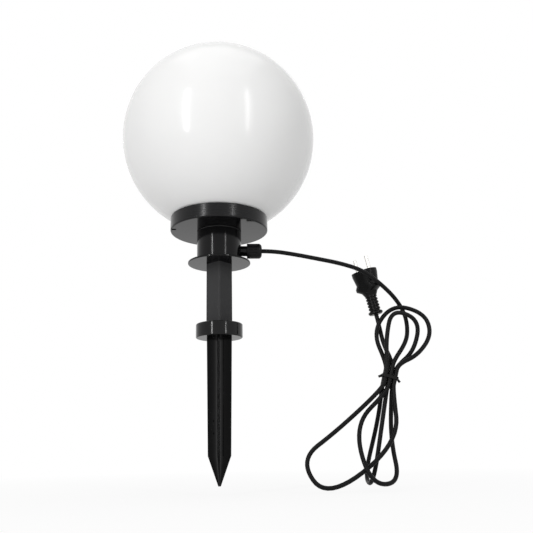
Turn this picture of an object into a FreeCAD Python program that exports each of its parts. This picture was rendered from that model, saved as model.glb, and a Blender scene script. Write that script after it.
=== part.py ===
"""Garden globe light on a ground spike, with its gland, tied cord and two-pin plug.

Millimetres, +Z up along the lamp's axis. The origin is the centre of the stop ring's underside,
which rests on the ground. The cord gland points along +X.
"""
import FreeCAD, Part
import math
import os

V = FreeCAD.Vector
UP = V(0, 0, 1)
RIGHT = V(1, 0, 0)

# Clearances
MOVING_GAP = 0.3
SLIP_FIT = 0.05

# How exactly an edge must lie at a height or a radius to be picked for a fillet
LEVEL_TOLERANCE = 1e-4
RADIUS_TOLERANCE = 1e-3

# Ground spike and its stop ring
RING_DIAMETER = 57.4
RING_HEIGHT = 17.0
RING_EDGE = 1.4
SOCKET_FLOOR = 2.0
SPIKE_ACROSS_TOP = 30.8
SPIKE_ACROSS_LOW = 27.5
SPIKE_BLADE = 138.5
SPIKE_POINT = 33.8
SPIKE_TIP_ACROSS = 3.0
SPIKE_FLUTE = 1.6
SPIKE_EDGE_WIDTH = 2.6
SPIKE_SHOULDER = 0.985
SPIKE_TURN = 87.0
SPIKE_ROOT = 3.0
MARK_DIAMETER = 2.6
MARK_DEPTH = 0.5
MARK_DROP = 99.0
MARK_SPACING = 14.0

# Square post
POST_SIDE = 24.0
POST_WALL = 1.6
POST_CORNER = 2.6
POST_ABOVE_RING = 76.8
POST_TURN = 45.0
INSERT_LENGTH = 22.0
INSERT_FIT = 0.1

# Bolt through the neck's floor into the post
BOLT_DIAMETER = 5.0
BOLT_HEAD_DIAMETER = 8.4
BOLT_HEAD_HEIGHT = 3.2
BOLT_REACH = 19.5
BOLT_DRIVE_ACROSS = 4.2
BOLT_DRIVE_DEPTH = 1.9
NUT_ACROSS = 8.0
NUT_HEIGHT = 4.0
NUT_DEPTH = 14.0
WASHER_DIAMETER = 10.0
WASHER_THICKNESS = 1.0

# Base flange and neck
FLANGE_DIAMETER = 78.4
FLANGE_THICKNESS = 2.2
FLANGE_EDGE = 0.7
NECK_HEIGHT = 39.1
NECK_WALL = 2.2
NECK_FLOOR = 2.5
GASKET_THICKNESS = 1.0
GASKET_INSET = 0.5
PILLAR_RADIUS = 3.2
PILLAR_SINK = 0.8
PILLAR_CLEARANCE = 1.6
PILLAR_TURNS = (60.0, 180.0, 300.0)
SCREW_DIAMETER = 3.0
SCREW_HEAD_DIAMETER = 5.6
SCREW_HEAD_HEIGHT = 1.8
SCREW_REACH = 12.0
SCREW_TIP_GAP = 1.0

# Shares of a screw's head height: its rounded crown, and the width and depth of its slot
HEAD_CROWN = 0.45
SLOT_WIDTH = 0.4
SLOT_DEPTH = 0.4

# Collar that holds the globe
COLLAR_GAP = 1.2
COLLAR_HEIGHT = 17.6
COLLAR_FLOOR = 2.5
COLLAR_WALL = 2.2
COLLAR_EDGE = 1.6
COLLAR_RIM_EDGE = 0.8
THREAD_RING_WALL = 2.0
THREAD_RING_DROP = 2.6
THREAD_CLEARANCE = 1.6
DRAIN_LENGTH = 6.0
DRAIN_WIDTH = 5.0
DRAIN_INSET = 0.6
DRAIN_TURN = 191.5

# Globe and its gasket
GLOBE_DIAMETER = 250.0
GLOBE_WALL = 3.0
LIP_DIAMETER = 104.0
LIP_LENGTH = 9.0
SEAL_THICKNESS = 2.4
SEAL_WALL = 2.4
SEAL_HEIGHT = 5.4

# Lampholder
HOLDER_WALL = 4.4
HOLDER_HEIGHT = 36.0
HOLDER_FLOOR = 2.5
HOLDER_DROP = 14.6
SKIRT_MARGIN = 3.1
SKIRT_THICKNESS = 2.5
SHELL_WALL = 0.6
SHELL_CLEARANCE = 0.7
SHELL_HEIGHT = 32.0
HOLDER_BASE_INSET = 0.5
HOLDER_BASE_HEIGHT = 5.5
PLUNGER_DIAMETER = 8.0
PLUNGER_HEAD = 3.2
PLUNGER_EDGE = 0.96
PLUNGER_GUIDE_FLOOR = 1.0
PLUNGER_STEM_DIAMETER = 4.0
PLUNGER_STEM_LENGTH = 9.0
PLUNGER_LIFT = 4.0
TERMINAL_DIAMETER = 4.2
TERMINAL_LENGTH = 5.5
TERMINAL_STANDOUT = 2.0

# Lamp
CAP_DIAMETER = 26.6
CAP_WALL = 0.6
CAP_LENGTH = 23.0
CONTACT_DIAMETER = 8.4
CONTACT_HEIGHT = 1.0
CAP_CONE_HEIGHT = 3.0
CAP_SPIGOT = 10.0
LAMP_DIAMETER = 60.0
LAMP_LENGTH = 110.0
LAMP_WALL = 1.6
LAMP_FLARE = 0.62
BOARD_THICKNESS = 1.6

# Cord, its clamp and its gland
CORD_DIAMETER = 5.4
CORD_RISE = 12.5
CLAMP_X = 9.5
CLAMP_LENGTH = 6.0
CLAMP_THICKNESS = 2.4
CLAMP_POST_RADIUS = 2.6
CLAMP_POST_SPAN = 14.0
CLAMP_SCREW_DIAMETER = 2.0
CLAMP_SCREW_REACH = 6.0
CLAMP_HEAD_DIAMETER = 4.4
CLAMP_HEAD_HEIGHT = 1.4
GLAND_BOSS_DIAMETER = 13.0
GLAND_BOSS_OUT = 6.0
GLAND_BOSS_IN = 5.5
GLAND_STEM_DIAMETER = 9.6
GLAND_BORE = 6.0
GLAND_SHOULDER = 1.2
GLAND_CUP_DIAMETER = 13.0
GLAND_CUP_LENGTH = 10.0
SEAL_LENGTH = 7.0
SEAL_DIAMETER = 10.2
LOCKNUT_ACROSS = 14.0
LOCKNUT_LENGTH = 3.0
GLAND_NUT_DIAMETER = 19.0
GLAND_NUT_LENGTH = 18.6
GLAND_NUT_WALL = 2.8
GLAND_NUT_DOME = 5.0
GLAND_NUT_BULGE = 1.0
GLAND_NUT_SHOULDER = 1.6
GLAND_RIBS = 12
GLAND_RIB_DEPTH = 0.7
GLAND_RIB_START = 2.0
GLAND_RIB_END = 1.0
GLAND_GROOVE_DIAMETER = 2.8

# Terminal block and the wires in the neck
BLOCK_LENGTH = 13.0
BLOCK_WIDTH = 18.0
BLOCK_HEIGHT = 11.0
BLOCK_CLEARANCE = 1.7
BLOCK_GROOVE_WIDTH = 1.2
BLOCK_GROOVE_DEPTH = 2.5
POLE_SPAN = 9.0
POLE_INSET = 4.0
POLE_DIAMETER = 3.6
POLE_DEPTH = 2.5
POLE_SCREW_DROP = 0.8
POLE_SLOT = 0.7
CORE_DIAMETER = 2.2
CORE_SPAN = 2.6
CORE_STRAIGHT = 0.4

# Share of the shorter straight run that a bend takes up on each side of its corner
BEND_SHARE = 0.45

# Route of the cord's lead, from the gland down to the hank's tie
LEAD_EXIT = 15.0
LEAD_ROUTE = (
    (96.0, -1.0, 106.5),
    (125.0, -3.0, 100.0),
    (153.0, -7.0, 93.0),
    (181.0, -9.5, 83.0),
    (203.4, -5.9, 66.2),
    (224.1, 5.2, 49.8),
    (236.7, 11.2, 30.1),
    (237.4, 8.1, 7.7),
    (229.3, -3.6, -9.8),
)
LEAD_CLOSE = 12.0

# Route of the cord's tail, from the plug down to the hank's tie
TAIL_EXIT = 10.0
TAIL_ROUTE = (
    (205.0, 8.6, -8.4),
    (212.1, 3.9, -27.3),
)
TAIL_CLOSE = 6.0

# Hank: its tie, the six strands in it and the five loops that they make
TIE_CENTRE = V(208.0, 0.0, -50.0)
TIE_LEAN = 16.0
STRAND_PITCH = 6.0
STRAND_STRAIGHT = 3.0
HANK_END = 8.0
TIE_HEIGHT = 3.6
TIE_THICKNESS = 1.4
TIE_CORNER = 2.4
TIE_KNOT_LENGTH = 5.0
TIE_KNOT_DIAMETER = 3.0
TIE_KNOT_DROOP = 37.0

# How finely the hank's gap to itself is measured, and the stretch of cord that counts as one turn
GAP_STEP = 2.0
TURN_STRETCH = 4 * CORD_DIAMETER

# Each loop in the order that the cord runs through them: which way it hangs and its lean from
# the vertical; for its left and right sides, how far they spread, how far they reach, the share
# of that reach at the hip and how far they run straight out of the tie; the side it starts on;
# and how deep its hips and corners lie, from left to right, towards the back
HANK_LOOPS = (
    dict(way=-1, lean=7.0, spread=(52.4, -9.9), reach=(117.9, 124.2), hip=(0.42, 0.59),
         runs=(17.9, 14.5), start="left", depths=(7.0, -21.6, 4.2, 13.8)),
    dict(way=1, lean=13.3, spread=(13.0, 26.0), reach=(83.4, 79.1), hip=(0.53, 0.50),
         runs=(10.7, 15.3), start="right", depths=(-4.1, -6.9, -1.0, 3.4)),
    dict(way=-1, lean=-54.9, spread=(-12.0, 66.8), reach=(148.0, 149.5), hip=(0.62, 0.28),
         runs=(15.6, 13.1), start="left", depths=(-0.5, 5.3, -2.1, -7.5)),
    dict(way=1, lean=38.0, spread=(48.3, 12.5), reach=(79.2, 96.7), hip=(0.45, 0.44),
         runs=(14.6, 17.7), start="right", depths=(7.6, 3.6, -2.7, -5.0)),
    dict(way=-1, lean=-12.0, spread=(2.6, -0.7), reach=(120.4, 131.8), hip=(0.44, 0.33),
         runs=(14.2, 10.6), start="left", depths=(19.5, 52.0, 4.1, 3.9)),
)

# Slots in the tie, as steps across and in depth, in the order that the cord passes them
HANK_SLOTS = ((0, -1), (1, 1), (-1, -1), (1, -1), (-1, 1), (0, 1))

# Plug
PLUG_FACE = V(187.2, 14.0, 87.6)
PLUG_LEAN = -12.4
PLUG_TURN = 51.0
PIN_DIAMETER = 4.8
PIN_LENGTH = 19.0
PIN_SPAN = 19.0
PIN_END_RADIUS = 1.9
PIN_ROOT = 9.0
PIN_ROOT_DIAMETER = 4.0
PLUG_WIDTH = 35.0
PLUG_THICKNESS = 25.0
PLUG_LENGTH = 33.0
PLUG_NECK_OVAL = 1.02
SLEEVE_DIAMETER = 15.0
SLEEVE_LENGTH = 25.0
SLEEVE_RIBS = 5
SLEEVE_GROOVE = 1.1
SLEEVE_COLLAR_DIAMETER = 18.4
SLEEVE_COLLAR_LENGTH = 4.5
SLEEVE_COLLAR_RISE = 1.2
SLEEVE_COLLAR_EDGE = 1.5

# The plug's outline from its face back to its shoulder: width and thickness as shares of the
# plug's own, and how far back as a share of its length
PLUG_SECTIONS = (
    (1.00, 1.00, 0.00),
    (1.00, 1.00, 0.12),
    (0.86, 0.86, 0.50),
    (1.02, 0.86, 0.62),
    (1.02, 0.80, 0.72),
    (0.62, 0.70, 0.84),
)

# One step of the sleeve's ribs: where the rib's top ends, the groove starts and the groove ends
SLEEVE_RIB_SHAPE = (0.5, 0.6, 0.9)

# Radii and places that follow: the lampholder takes the lamp's cap, the neck takes the lampholder
# with its screws beside it, and the collar clears the globe at its rim and the thread ring inside
HOLDER_BORE = CAP_DIAMETER + 2 * (SHELL_WALL + SHELL_CLEARANCE)
HOLDER_DIAMETER = HOLDER_BORE + 2 * HOLDER_WALL
HOLDER_BASE_DIAMETER = HOLDER_DIAMETER - 2 * HOLDER_BASE_INSET
SCREW_CIRCLE = HOLDER_DIAMETER / 2 + SCREW_HEAD_DIAMETER / 2 + PILLAR_CLEARANCE
SKIRT_RADIUS = SCREW_CIRCLE + SKIRT_MARGIN
NECK_DIAMETER = 2 * (SCREW_CIRCLE + PILLAR_RADIUS - PILLAR_SINK + NECK_WALL)
BLOCK_X = BLOCK_LENGTH / 2 + BLOCK_CLEARANCE + PILLAR_RADIUS - SCREW_CIRCLE
GLAND_X = NECK_DIAMETER / 2 + GLAND_BOSS_OUT
GLAND_IN_X = NECK_DIAMETER / 2 - GLAND_BOSS_IN
GLAND_END_X = GLAND_X + GLAND_SHOULDER + GLAND_NUT_LENGTH

# Heights that follow
FLANGE_Z = RING_HEIGHT + POST_ABOVE_RING
NECK_Z = FLANGE_Z + FLANGE_THICKNESS
NECK_FLOOR_Z = NECK_Z + NECK_FLOOR
NECK_TOP_Z = NECK_Z + NECK_HEIGHT
COLLAR_Z = NECK_TOP_Z + GASKET_THICKNESS
COLLAR_FLOOR_Z = COLLAR_Z + COLLAR_FLOOR
COLLAR_TOP_Z = COLLAR_Z + COLLAR_HEIGHT
GLOBE_RADIUS = GLOBE_DIAMETER / 2
LIP_RADIUS = LIP_DIAMETER / 2
LIP_Z = COLLAR_FLOOR_Z + SEAL_THICKNESS + 2 * MOVING_GAP
LIP_TOP_Z = LIP_Z + LIP_LENGTH
GLOBE_CENTRE_Z = LIP_TOP_Z + math.sqrt(GLOBE_RADIUS**2 - LIP_RADIUS**2)
CORD_Z = NECK_FLOOR_Z + CORD_RISE
CORD_RADIUS = CORD_DIAMETER / 2
HOLDER_Z = COLLAR_FLOOR_Z - HOLDER_DROP
HOLDER_TOP_Z = HOLDER_Z + HOLDER_HEIGHT
SKIRT_TOP_Z = COLLAR_FLOOR_Z + SKIRT_THICKNESS
PLUNGER_TOP_Z = HOLDER_Z + HOLDER_FLOOR + PLUNGER_LIFT + PLUNGER_HEAD
LAMP_Z = PLUNGER_TOP_Z + MOVING_GAP
CAP_Z = LAMP_Z + CONTACT_HEIGHT + CAP_CONE_HEIGHT
CAP_TOP_Z = CAP_Z + CAP_LENGTH
LAMP_BALL_Z = LAMP_Z + LAMP_LENGTH - LAMP_DIAMETER / 2
RING_INNER = LIP_RADIUS + THREAD_CLEARANCE
RING_OUTER = RING_INNER + THREAD_RING_WALL
GLOBE_AT_RIM = math.sqrt(GLOBE_RADIUS**2 - (GLOBE_CENTRE_Z - COLLAR_TOP_Z)**2)
COLLAR_INNER = max(GLOBE_AT_RIM, RING_OUTER) + COLLAR_GAP
COLLAR_RADIUS = COLLAR_INNER + COLLAR_WALL


def cylinder(diameter, height, base=V(0, 0, 0), direction=UP):
    """A round bar from base along direction."""
    return Part.makeCylinder(diameter / 2, height, base, direction)


def tube(outer, inner, height, base=V(0, 0, 0), direction=UP):
    """A round tube from base along direction."""
    return cylinder(outer, height, base, direction).cut(cylinder(inner, height, base, direction))


def box(size_x, size_y, size_z, centre_x, centre_y, z):
    """A block centred on a point of the plane at height z."""
    corner = V(centre_x - size_x / 2, centre_y - size_y / 2, z)
    return Part.makeBox(size_x, size_y, size_z, corner)


def turned(profile):
    """The solid that a closed profile of (radius, height) points sweeps round the Z axis.

    A point with a third value "arc" is a point that the profile passes on an arc.
    """
    edges = []
    points = [(V(p[0], 0, p[1]), len(p) > 2) for p in profile]
    points.append(points[0])
    start = points[0][0]
    through = None
    for point, is_arc in points[1:]:
        if is_arc:
            through = point
        elif through is not None:
            edges.append(Part.Arc(start, through, point).toShape())
            start, through = point, None
        elif (point - start).Length > 0:
            edges.append(Part.LineSegment(start, point).toShape())
            start = point
    return Part.Face(Part.Wire(edges)).revolve(V(0, 0, 0), UP, 360)


def polar(radius, degrees, z):
    """The point at a radius and a turn about the Z axis."""
    angle = math.radians(degrees)
    return V(radius * math.cos(angle), radius * math.sin(angle), z)


def fused(shapes):
    """One solid from several that touch or overlap."""
    whole = shapes[0]
    for shape in shapes[1:]:
        whole = whole.fuse(shape)
    return whole.removeSplitter()


def edges_at(shape, height, radius=None):
    """The edges that lie wholly at one height, and at one radius where that is given."""
    found = []
    for edge in shape.Edges:
        points = edge.discretize(5)
        level = all(abs(p.z - height) < LEVEL_TOLERANCE for p in points)
        if level and radius is not None:
            level = all(abs(math.hypot(p.x, p.y) - radius) < RADIUS_TOLERANCE for p in points)
        if level:
            found.append(edge)
    return found


def square_bar(side, corner, height, z, turn):
    """An upright square bar with rounded corners, turned about the Z axis."""
    bar = box(side, side, height, 0, 0, z)
    upright = [e for e in bar.Edges if abs(e.Vertexes[0].Z - e.Vertexes[1].Z) > height / 2]
    bar = bar.makeFillet(corner, upright)
    bar.rotate(V(0, 0, 0), UP, turn)
    return bar


def hexagon_bar(across, length, base, direction=UP):
    """A hexagonal bar, across its flats, from base along direction."""
    radius = across / math.sqrt(3)
    side = direction.cross(UP if abs(direction.z) < 0.5 else RIGHT)
    side.normalize()
    other = direction.cross(side)
    corners = []
    for step in range(6):
        angle = math.radians(60 * step + 30)
        corners.append(base + side * (radius * math.cos(angle)) + other * (radius * math.sin(angle)))
    wire = Part.makePolygon(corners + corners[:1])
    return Part.Face(wire).extrude(direction * length)


def screw(head_diameter, head_height, diameter, reach, base):
    """A pan-head screw that points down, its head standing on base."""
    head = cylinder(head_diameter, head_height, base)
    head = head.makeFillet(head_height * HEAD_CROWN, edges_at(head, base.z + head_height))
    shank = cylinder(diameter, reach, base - UP * reach)
    slot_z = base.z + head_height * (1 - SLOT_DEPTH)
    slot = box(head_diameter, head_height * SLOT_WIDTH, head_height, base.x, base.y, slot_z)
    return fused([head, shank]).cut(slot)


def pillar_points(z):
    """Where the three pillars of the neck stand, at a height."""
    return [polar(SCREW_CIRCLE, turn, z) for turn in PILLAR_TURNS]


# Ground spike


def spike_section(across, z):
    """The spike's outline at one height: four rounded edges with a hollow flute between each."""
    radius = across / 2
    depth = radius * math.cos(math.radians(45)) - SPIKE_FLUTE * across / SPIKE_ACROSS_TOP
    half_edge = math.degrees(SPIKE_EDGE_WIDTH / 2 * across / SPIKE_ACROSS_TOP / radius)
    shoulder = radius * SPIKE_SHOULDER
    edges = []
    for quarter in range(4):
        turn = SPIKE_TURN + 90 * quarter
        before = polar(shoulder, turn - half_edge, z)
        after = polar(shoulder, turn + half_edge, z)
        following = polar(shoulder, turn + 90 - half_edge, z)
        edges.append(Part.Arc(before, polar(radius, turn, z), after).toShape())
        edges.append(Part.Arc(after, polar(depth, turn + 45, z), following).toShape())
    return Part.Wire(edges)


def spike_blade():
    """The long fluted blade and the point below it."""
    sections = [
        spike_section(SPIKE_ACROSS_TOP, SPIKE_ROOT),
        spike_section(SPIKE_ACROSS_LOW, -SPIKE_BLADE),
    ]
    point = [
        spike_section(SPIKE_ACROSS_LOW, -SPIKE_BLADE),
        spike_section(SPIKE_TIP_ACROSS, -SPIKE_BLADE - SPIKE_POINT),
    ]
    blade = Part.makeLoft(sections, True, True)
    return blade.fuse(Part.makeLoft(point, True, True))


def ejector_marks():
    """Two shallow round pips that the mould leaves on one flute."""
    facing = math.radians(SPIKE_TURN + 90 + 45)
    out = V(math.cos(facing), math.sin(facing), 0)
    marks = []
    for drop in (MARK_DROP, MARK_DROP + MARK_SPACING):
        share = drop / SPIKE_BLADE
        across = SPIKE_ACROSS_TOP + (SPIKE_ACROSS_LOW - SPIKE_ACROSS_TOP) * share
        depth = across / 2 * math.cos(math.radians(45)) - SPIKE_FLUTE * across / SPIKE_ACROSS_TOP
        marks.append(cylinder(MARK_DIAMETER, across, out * (depth - MARK_DEPTH) - UP * drop, out))
    return marks


def ground_spike():
    """The moulded spike: fluted blade, point, and the stop ring with the post's socket."""
    ring = cylinder(RING_DIAMETER, RING_HEIGHT)
    ring = ring.makeFillet(RING_EDGE, edges_at(ring, RING_HEIGHT) + edges_at(ring, 0))
    body = ring.fuse(spike_blade())
    side = POST_SIDE + 2 * MOVING_GAP
    socket = square_bar(side, POST_CORNER + MOVING_GAP, RING_HEIGHT, SOCKET_FLOOR, POST_TURN)
    body = body.cut(socket)
    for mark in ejector_marks():
        body = body.cut(mark)
    return body


# Post and what joins it to the neck


def post_tube():
    """The square tube, with rounded corners, that stands in the ring's socket."""
    foot = SOCKET_FLOOR + MOVING_GAP
    length = FLANGE_Z - foot
    outer = square_bar(POST_SIDE, POST_CORNER, length, foot, POST_TURN)
    inner_side = POST_SIDE - 2 * POST_WALL
    inner = square_bar(inner_side, POST_CORNER - POST_WALL, length, foot, POST_TURN)
    return outer.cut(inner)


def post_insert():
    """The plug in the top of the post, with its bolt hole and a pocket for the nut."""
    side = POST_SIDE - 2 * (POST_WALL + INSERT_FIT)
    insert = square_bar(side, POST_CORNER - POST_WALL, INSERT_LENGTH, FLANGE_Z - INSERT_LENGTH, POST_TURN)
    hole = cylinder(BOLT_DIAMETER + 2 * SLIP_FIT, INSERT_LENGTH, V(0, 0, FLANGE_Z - INSERT_LENGTH))
    base = V(0, 0, FLANGE_Z - INSERT_LENGTH)
    pocket = hexagon_bar(NUT_ACROSS + 2 * SLIP_FIT, INSERT_LENGTH - NUT_DEPTH + NUT_HEIGHT, base)
    return insert.cut(hole).cut(pocket)


def captive_nut():
    """The nut in the insert's pocket."""
    base = V(0, 0, FLANGE_Z - NUT_DEPTH)
    return hexagon_bar(NUT_ACROSS, NUT_HEIGHT, base).cut(cylinder(BOLT_DIAMETER, NUT_HEIGHT, base))


def fixing_washer():
    """The washer under the bolt's head."""
    return tube(WASHER_DIAMETER, BOLT_DIAMETER + 2 * SLIP_FIT, WASHER_THICKNESS, V(0, 0, NECK_FLOOR_Z))


def fixing_bolt():
    """The bolt from the neck's floor down into the post's insert."""
    base = V(0, 0, NECK_FLOOR_Z + WASHER_THICKNESS)
    head = cylinder(BOLT_HEAD_DIAMETER, BOLT_HEAD_HEIGHT, base)
    reach = BOLT_REACH + WASHER_THICKNESS + NECK_FLOOR + FLANGE_THICKNESS
    shank = cylinder(BOLT_DIAMETER, reach, base - UP * reach)
    drive_base = base + UP * (BOLT_HEAD_HEIGHT - BOLT_DRIVE_DEPTH)
    drive = hexagon_bar(BOLT_DRIVE_ACROSS, BOLT_DRIVE_DEPTH, drive_base)
    return fused([head, shank]).cut(drive)


def base_flange():
    """The thin disc between the post and the neck."""
    disc = tube(FLANGE_DIAMETER, BOLT_DIAMETER + 2 * SLIP_FIT, FLANGE_THICKNESS, V(0, 0, FLANGE_Z))
    rim = edges_at(disc, NECK_Z, FLANGE_DIAMETER / 2) + edges_at(disc, FLANGE_Z, FLANGE_DIAMETER / 2)
    return disc.makeFillet(FLANGE_EDGE, rim)


# Neck


def neck_pillars():
    """The three screw pillars that stand on the neck's floor against its wall."""
    return [cylinder(PILLAR_RADIUS * 2, NECK_TOP_Z - NECK_Z, point) for point in pillar_points(NECK_Z)]


def clamp_posts():
    """The cradle and the two posts that hold the cord clamp over the cord."""
    top = CORD_Z + CORD_RADIUS
    cradle = box(CLAMP_LENGTH, CLAMP_POST_SPAN, CORD_Z - CORD_RADIUS - NECK_Z, CLAMP_X, 0, NECK_Z)
    posts = []
    for side in (-1, 1):
        base = V(CLAMP_X, side * CLAMP_POST_SPAN / 2, NECK_Z)
        posts.append(cylinder(CLAMP_POST_RADIUS * 2, top - NECK_Z, base))
    return [cradle] + posts


def neck_housing():
    """The round housing with its floor, screw pillars, cord cradle and gland boss."""
    outer = cylinder(NECK_DIAMETER, NECK_HEIGHT, V(0, 0, NECK_Z))
    boss_base = V(GLAND_IN_X, 0, CORD_Z)
    boss_length = GLAND_X - GLAND_IN_X
    boss = cylinder(GLAND_BOSS_DIAMETER, boss_length, boss_base, RIGHT)
    bore = NECK_DIAMETER - 2 * NECK_WALL
    inner = cylinder(bore, NECK_HEIGHT, V(0, 0, NECK_FLOOR_Z))
    walls = outer.cut(inner)
    body = fused([walls, boss] + neck_pillars() + clamp_posts())
    body = body.cut(cylinder(GLAND_STEM_DIAMETER + 2 * SLIP_FIT, boss_length, boss_base, RIGHT))
    for point in pillar_points(NECK_TOP_Z - SCREW_REACH):
        body = body.cut(cylinder(SCREW_DIAMETER, SCREW_REACH, point))
    for side in (-1, 1):
        base = V(CLAMP_X, side * CLAMP_POST_SPAN / 2, CORD_Z + CORD_RADIUS - CLAMP_SCREW_REACH)
        body = body.cut(cylinder(CLAMP_SCREW_DIAMETER, CLAMP_SCREW_REACH, base))
    return body.cut(cylinder(BOLT_DIAMETER + 2 * SLIP_FIT, NECK_HEIGHT, V(0, 0, NECK_Z)))


def neck_gasket():
    """The flat seal between the neck and the collar."""
    inner = 2 * (SCREW_CIRCLE - PILLAR_RADIUS)
    gasket = tube(NECK_DIAMETER - 2 * GASKET_INSET, inner, GASKET_THICKNESS, V(0, 0, NECK_TOP_Z))
    for point in pillar_points(NECK_TOP_Z):
        gasket = gasket.cut(cylinder(SCREW_DIAMETER + 2 * SLIP_FIT, GASKET_THICKNESS, point))
    return gasket


def cord_clamp():
    """The bar that presses the cord into its cradle."""
    bar = box(CLAMP_LENGTH, CLAMP_POST_SPAN + CLAMP_LENGTH, CLAMP_THICKNESS, CLAMP_X, 0, CORD_Z + CORD_RADIUS)
    for side in (-1, 1):
        base = V(CLAMP_X, side * CLAMP_POST_SPAN / 2, CORD_Z)
        bar = bar.cut(cylinder(CLAMP_SCREW_DIAMETER + 2 * SLIP_FIT, NECK_HEIGHT, base))
    return bar


def clamp_screws():
    """The two screws of the cord clamp."""
    top = CORD_Z + CORD_RADIUS + CLAMP_THICKNESS
    reach = CLAMP_THICKNESS + CLAMP_SCREW_REACH - SCREW_TIP_GAP
    return Part.makeCompound([
        screw(CLAMP_HEAD_DIAMETER, CLAMP_HEAD_HEIGHT, CLAMP_SCREW_DIAMETER, reach,
              V(CLAMP_X, side * CLAMP_POST_SPAN / 2, top))
        for side in (-1, 1)
    ])


# Collar, globe and gasket


def collar():
    """The shallow cup that carries the globe, with its thread ring and drain slot."""
    hole = HOLDER_DIAMETER / 2 + MOVING_GAP
    ring_top = LIP_TOP_Z - THREAD_RING_DROP
    cup = turned([
        (hole, COLLAR_Z), (COLLAR_RADIUS, COLLAR_Z), (COLLAR_RADIUS, COLLAR_TOP_Z),
        (COLLAR_INNER, COLLAR_TOP_Z), (COLLAR_INNER, COLLAR_FLOOR_Z), (RING_OUTER, COLLAR_FLOOR_Z),
        (RING_OUTER, ring_top), (RING_INNER, ring_top), (RING_INNER, COLLAR_FLOOR_Z),
        (hole, COLLAR_FLOOR_Z),
    ])
    cup = cup.makeFillet(COLLAR_EDGE, edges_at(cup, COLLAR_Z, COLLAR_RADIUS))
    cup = cup.makeFillet(COLLAR_RIM_EDGE, edges_at(cup, COLLAR_TOP_Z, COLLAR_RADIUS))
    slot = polar(COLLAR_RADIUS - DRAIN_INSET - DRAIN_LENGTH / 2, DRAIN_TURN, COLLAR_Z)
    cup = cup.cut(box(DRAIN_LENGTH, DRAIN_WIDTH, COLLAR_FLOOR, slot.x, slot.y, COLLAR_Z))
    for point in pillar_points(COLLAR_Z):
        cup = cup.cut(cylinder(SCREW_DIAMETER + 2 * SLIP_FIT, COLLAR_FLOOR, point))
    return cup


def globe():
    """The opal globe with the lip that screws into the collar."""
    inner = GLOBE_RADIUS - GLOBE_WALL
    lip_inner = LIP_RADIUS - GLOBE_WALL
    inner_z = GLOBE_CENTRE_Z - math.sqrt(inner**2 - lip_inner**2)
    return turned([
        (lip_inner, LIP_Z), (LIP_RADIUS, LIP_Z), (LIP_RADIUS, LIP_TOP_Z),
        (GLOBE_RADIUS, GLOBE_CENTRE_Z, "arc"), (0, GLOBE_CENTRE_Z + GLOBE_RADIUS),
        (0, GLOBE_CENTRE_Z + inner), (inner, GLOBE_CENTRE_Z, "arc"), (lip_inner, inner_z),
    ])


def globe_gasket():
    """The angle ring that clips inside the globe's lip and seats on the collar's floor."""
    top = LIP_Z - MOVING_GAP
    outer = LIP_RADIUS
    wall_outer = LIP_RADIUS - GLOBE_WALL - MOVING_GAP
    wall_inner = wall_outer - SEAL_WALL
    return turned([
        (wall_inner, top - SEAL_THICKNESS), (outer, top - SEAL_THICKNESS), (outer, top),
        (wall_outer, top), (wall_outer, top + SEAL_HEIGHT), (wall_inner, top + SEAL_HEIGHT),
    ])


# Lampholder


def lampholder_body():
    """The holder's cup with the skirt that the screws clamp on the collar's floor."""
    radius = HOLDER_DIAMETER / 2
    bore = HOLDER_BORE / 2
    floor = HOLDER_Z + HOLDER_FLOOR
    stem = PLUNGER_STEM_DIAMETER / 2 + MOVING_GAP
    body = turned([
        (stem, HOLDER_Z), (radius, HOLDER_Z), (radius, COLLAR_FLOOR_Z), (SKIRT_RADIUS, COLLAR_FLOOR_Z),
        (SKIRT_RADIUS, SKIRT_TOP_Z), (radius, SKIRT_TOP_Z), (radius, HOLDER_TOP_Z),
        (bore, HOLDER_TOP_Z), (bore, floor), (stem, floor),
    ])
    for point in pillar_points(COLLAR_FLOOR_Z):
        body = body.cut(cylinder(SCREW_DIAMETER + 2 * SLIP_FIT, SKIRT_THICKNESS, point))
    return body


def lampholder_shell():
    """The brass thread shell in the holder's bore."""
    base = V(0, 0, HOLDER_Z + HOLDER_FLOOR)
    return tube(HOLDER_BORE, HOLDER_BORE - 2 * SHELL_WALL, SHELL_HEIGHT, base)


def lampholder_base():
    """The disc under the holder that carries its two terminals."""
    disc = cylinder(HOLDER_BASE_DIAMETER, HOLDER_BASE_HEIGHT, V(0, 0, HOLDER_Z - HOLDER_BASE_HEIGHT))
    guide = PLUNGER_STEM_DIAMETER + 2 * MOVING_GAP
    guide_z = HOLDER_Z - HOLDER_BASE_HEIGHT + PLUNGER_GUIDE_FLOOR
    disc = disc.cut(cylinder(guide, HOLDER_BASE_HEIGHT, V(0, 0, guide_z)))
    for side in (-1, 1):
        base = V(BLOCK_X, side * POLE_SPAN / 2, HOLDER_Z - HOLDER_BASE_HEIGHT)
        disc = disc.cut(cylinder(TERMINAL_DIAMETER, TERMINAL_LENGTH - TERMINAL_STANDOUT, base))
    return disc


def lampholder_terminals():
    """The two brass terminals under the holder's base."""
    z = HOLDER_Z - HOLDER_BASE_HEIGHT - TERMINAL_STANDOUT
    return Part.makeCompound([
        cylinder(TERMINAL_DIAMETER, TERMINAL_LENGTH, V(BLOCK_X, side * POLE_SPAN / 2, z)) for side in (-1, 1)
    ])


def lampholder_plunger():
    """The sprung centre contact and its guide stem."""
    base = V(0, 0, PLUNGER_TOP_Z - PLUNGER_HEAD)
    head = cylinder(PLUNGER_DIAMETER, PLUNGER_HEAD, base)
    head = head.makeFillet(PLUNGER_EDGE, edges_at(head, PLUNGER_TOP_Z))
    stem = cylinder(PLUNGER_STEM_DIAMETER, PLUNGER_STEM_LENGTH, base - UP * PLUNGER_STEM_LENGTH)
    return fused([head, stem])


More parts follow.
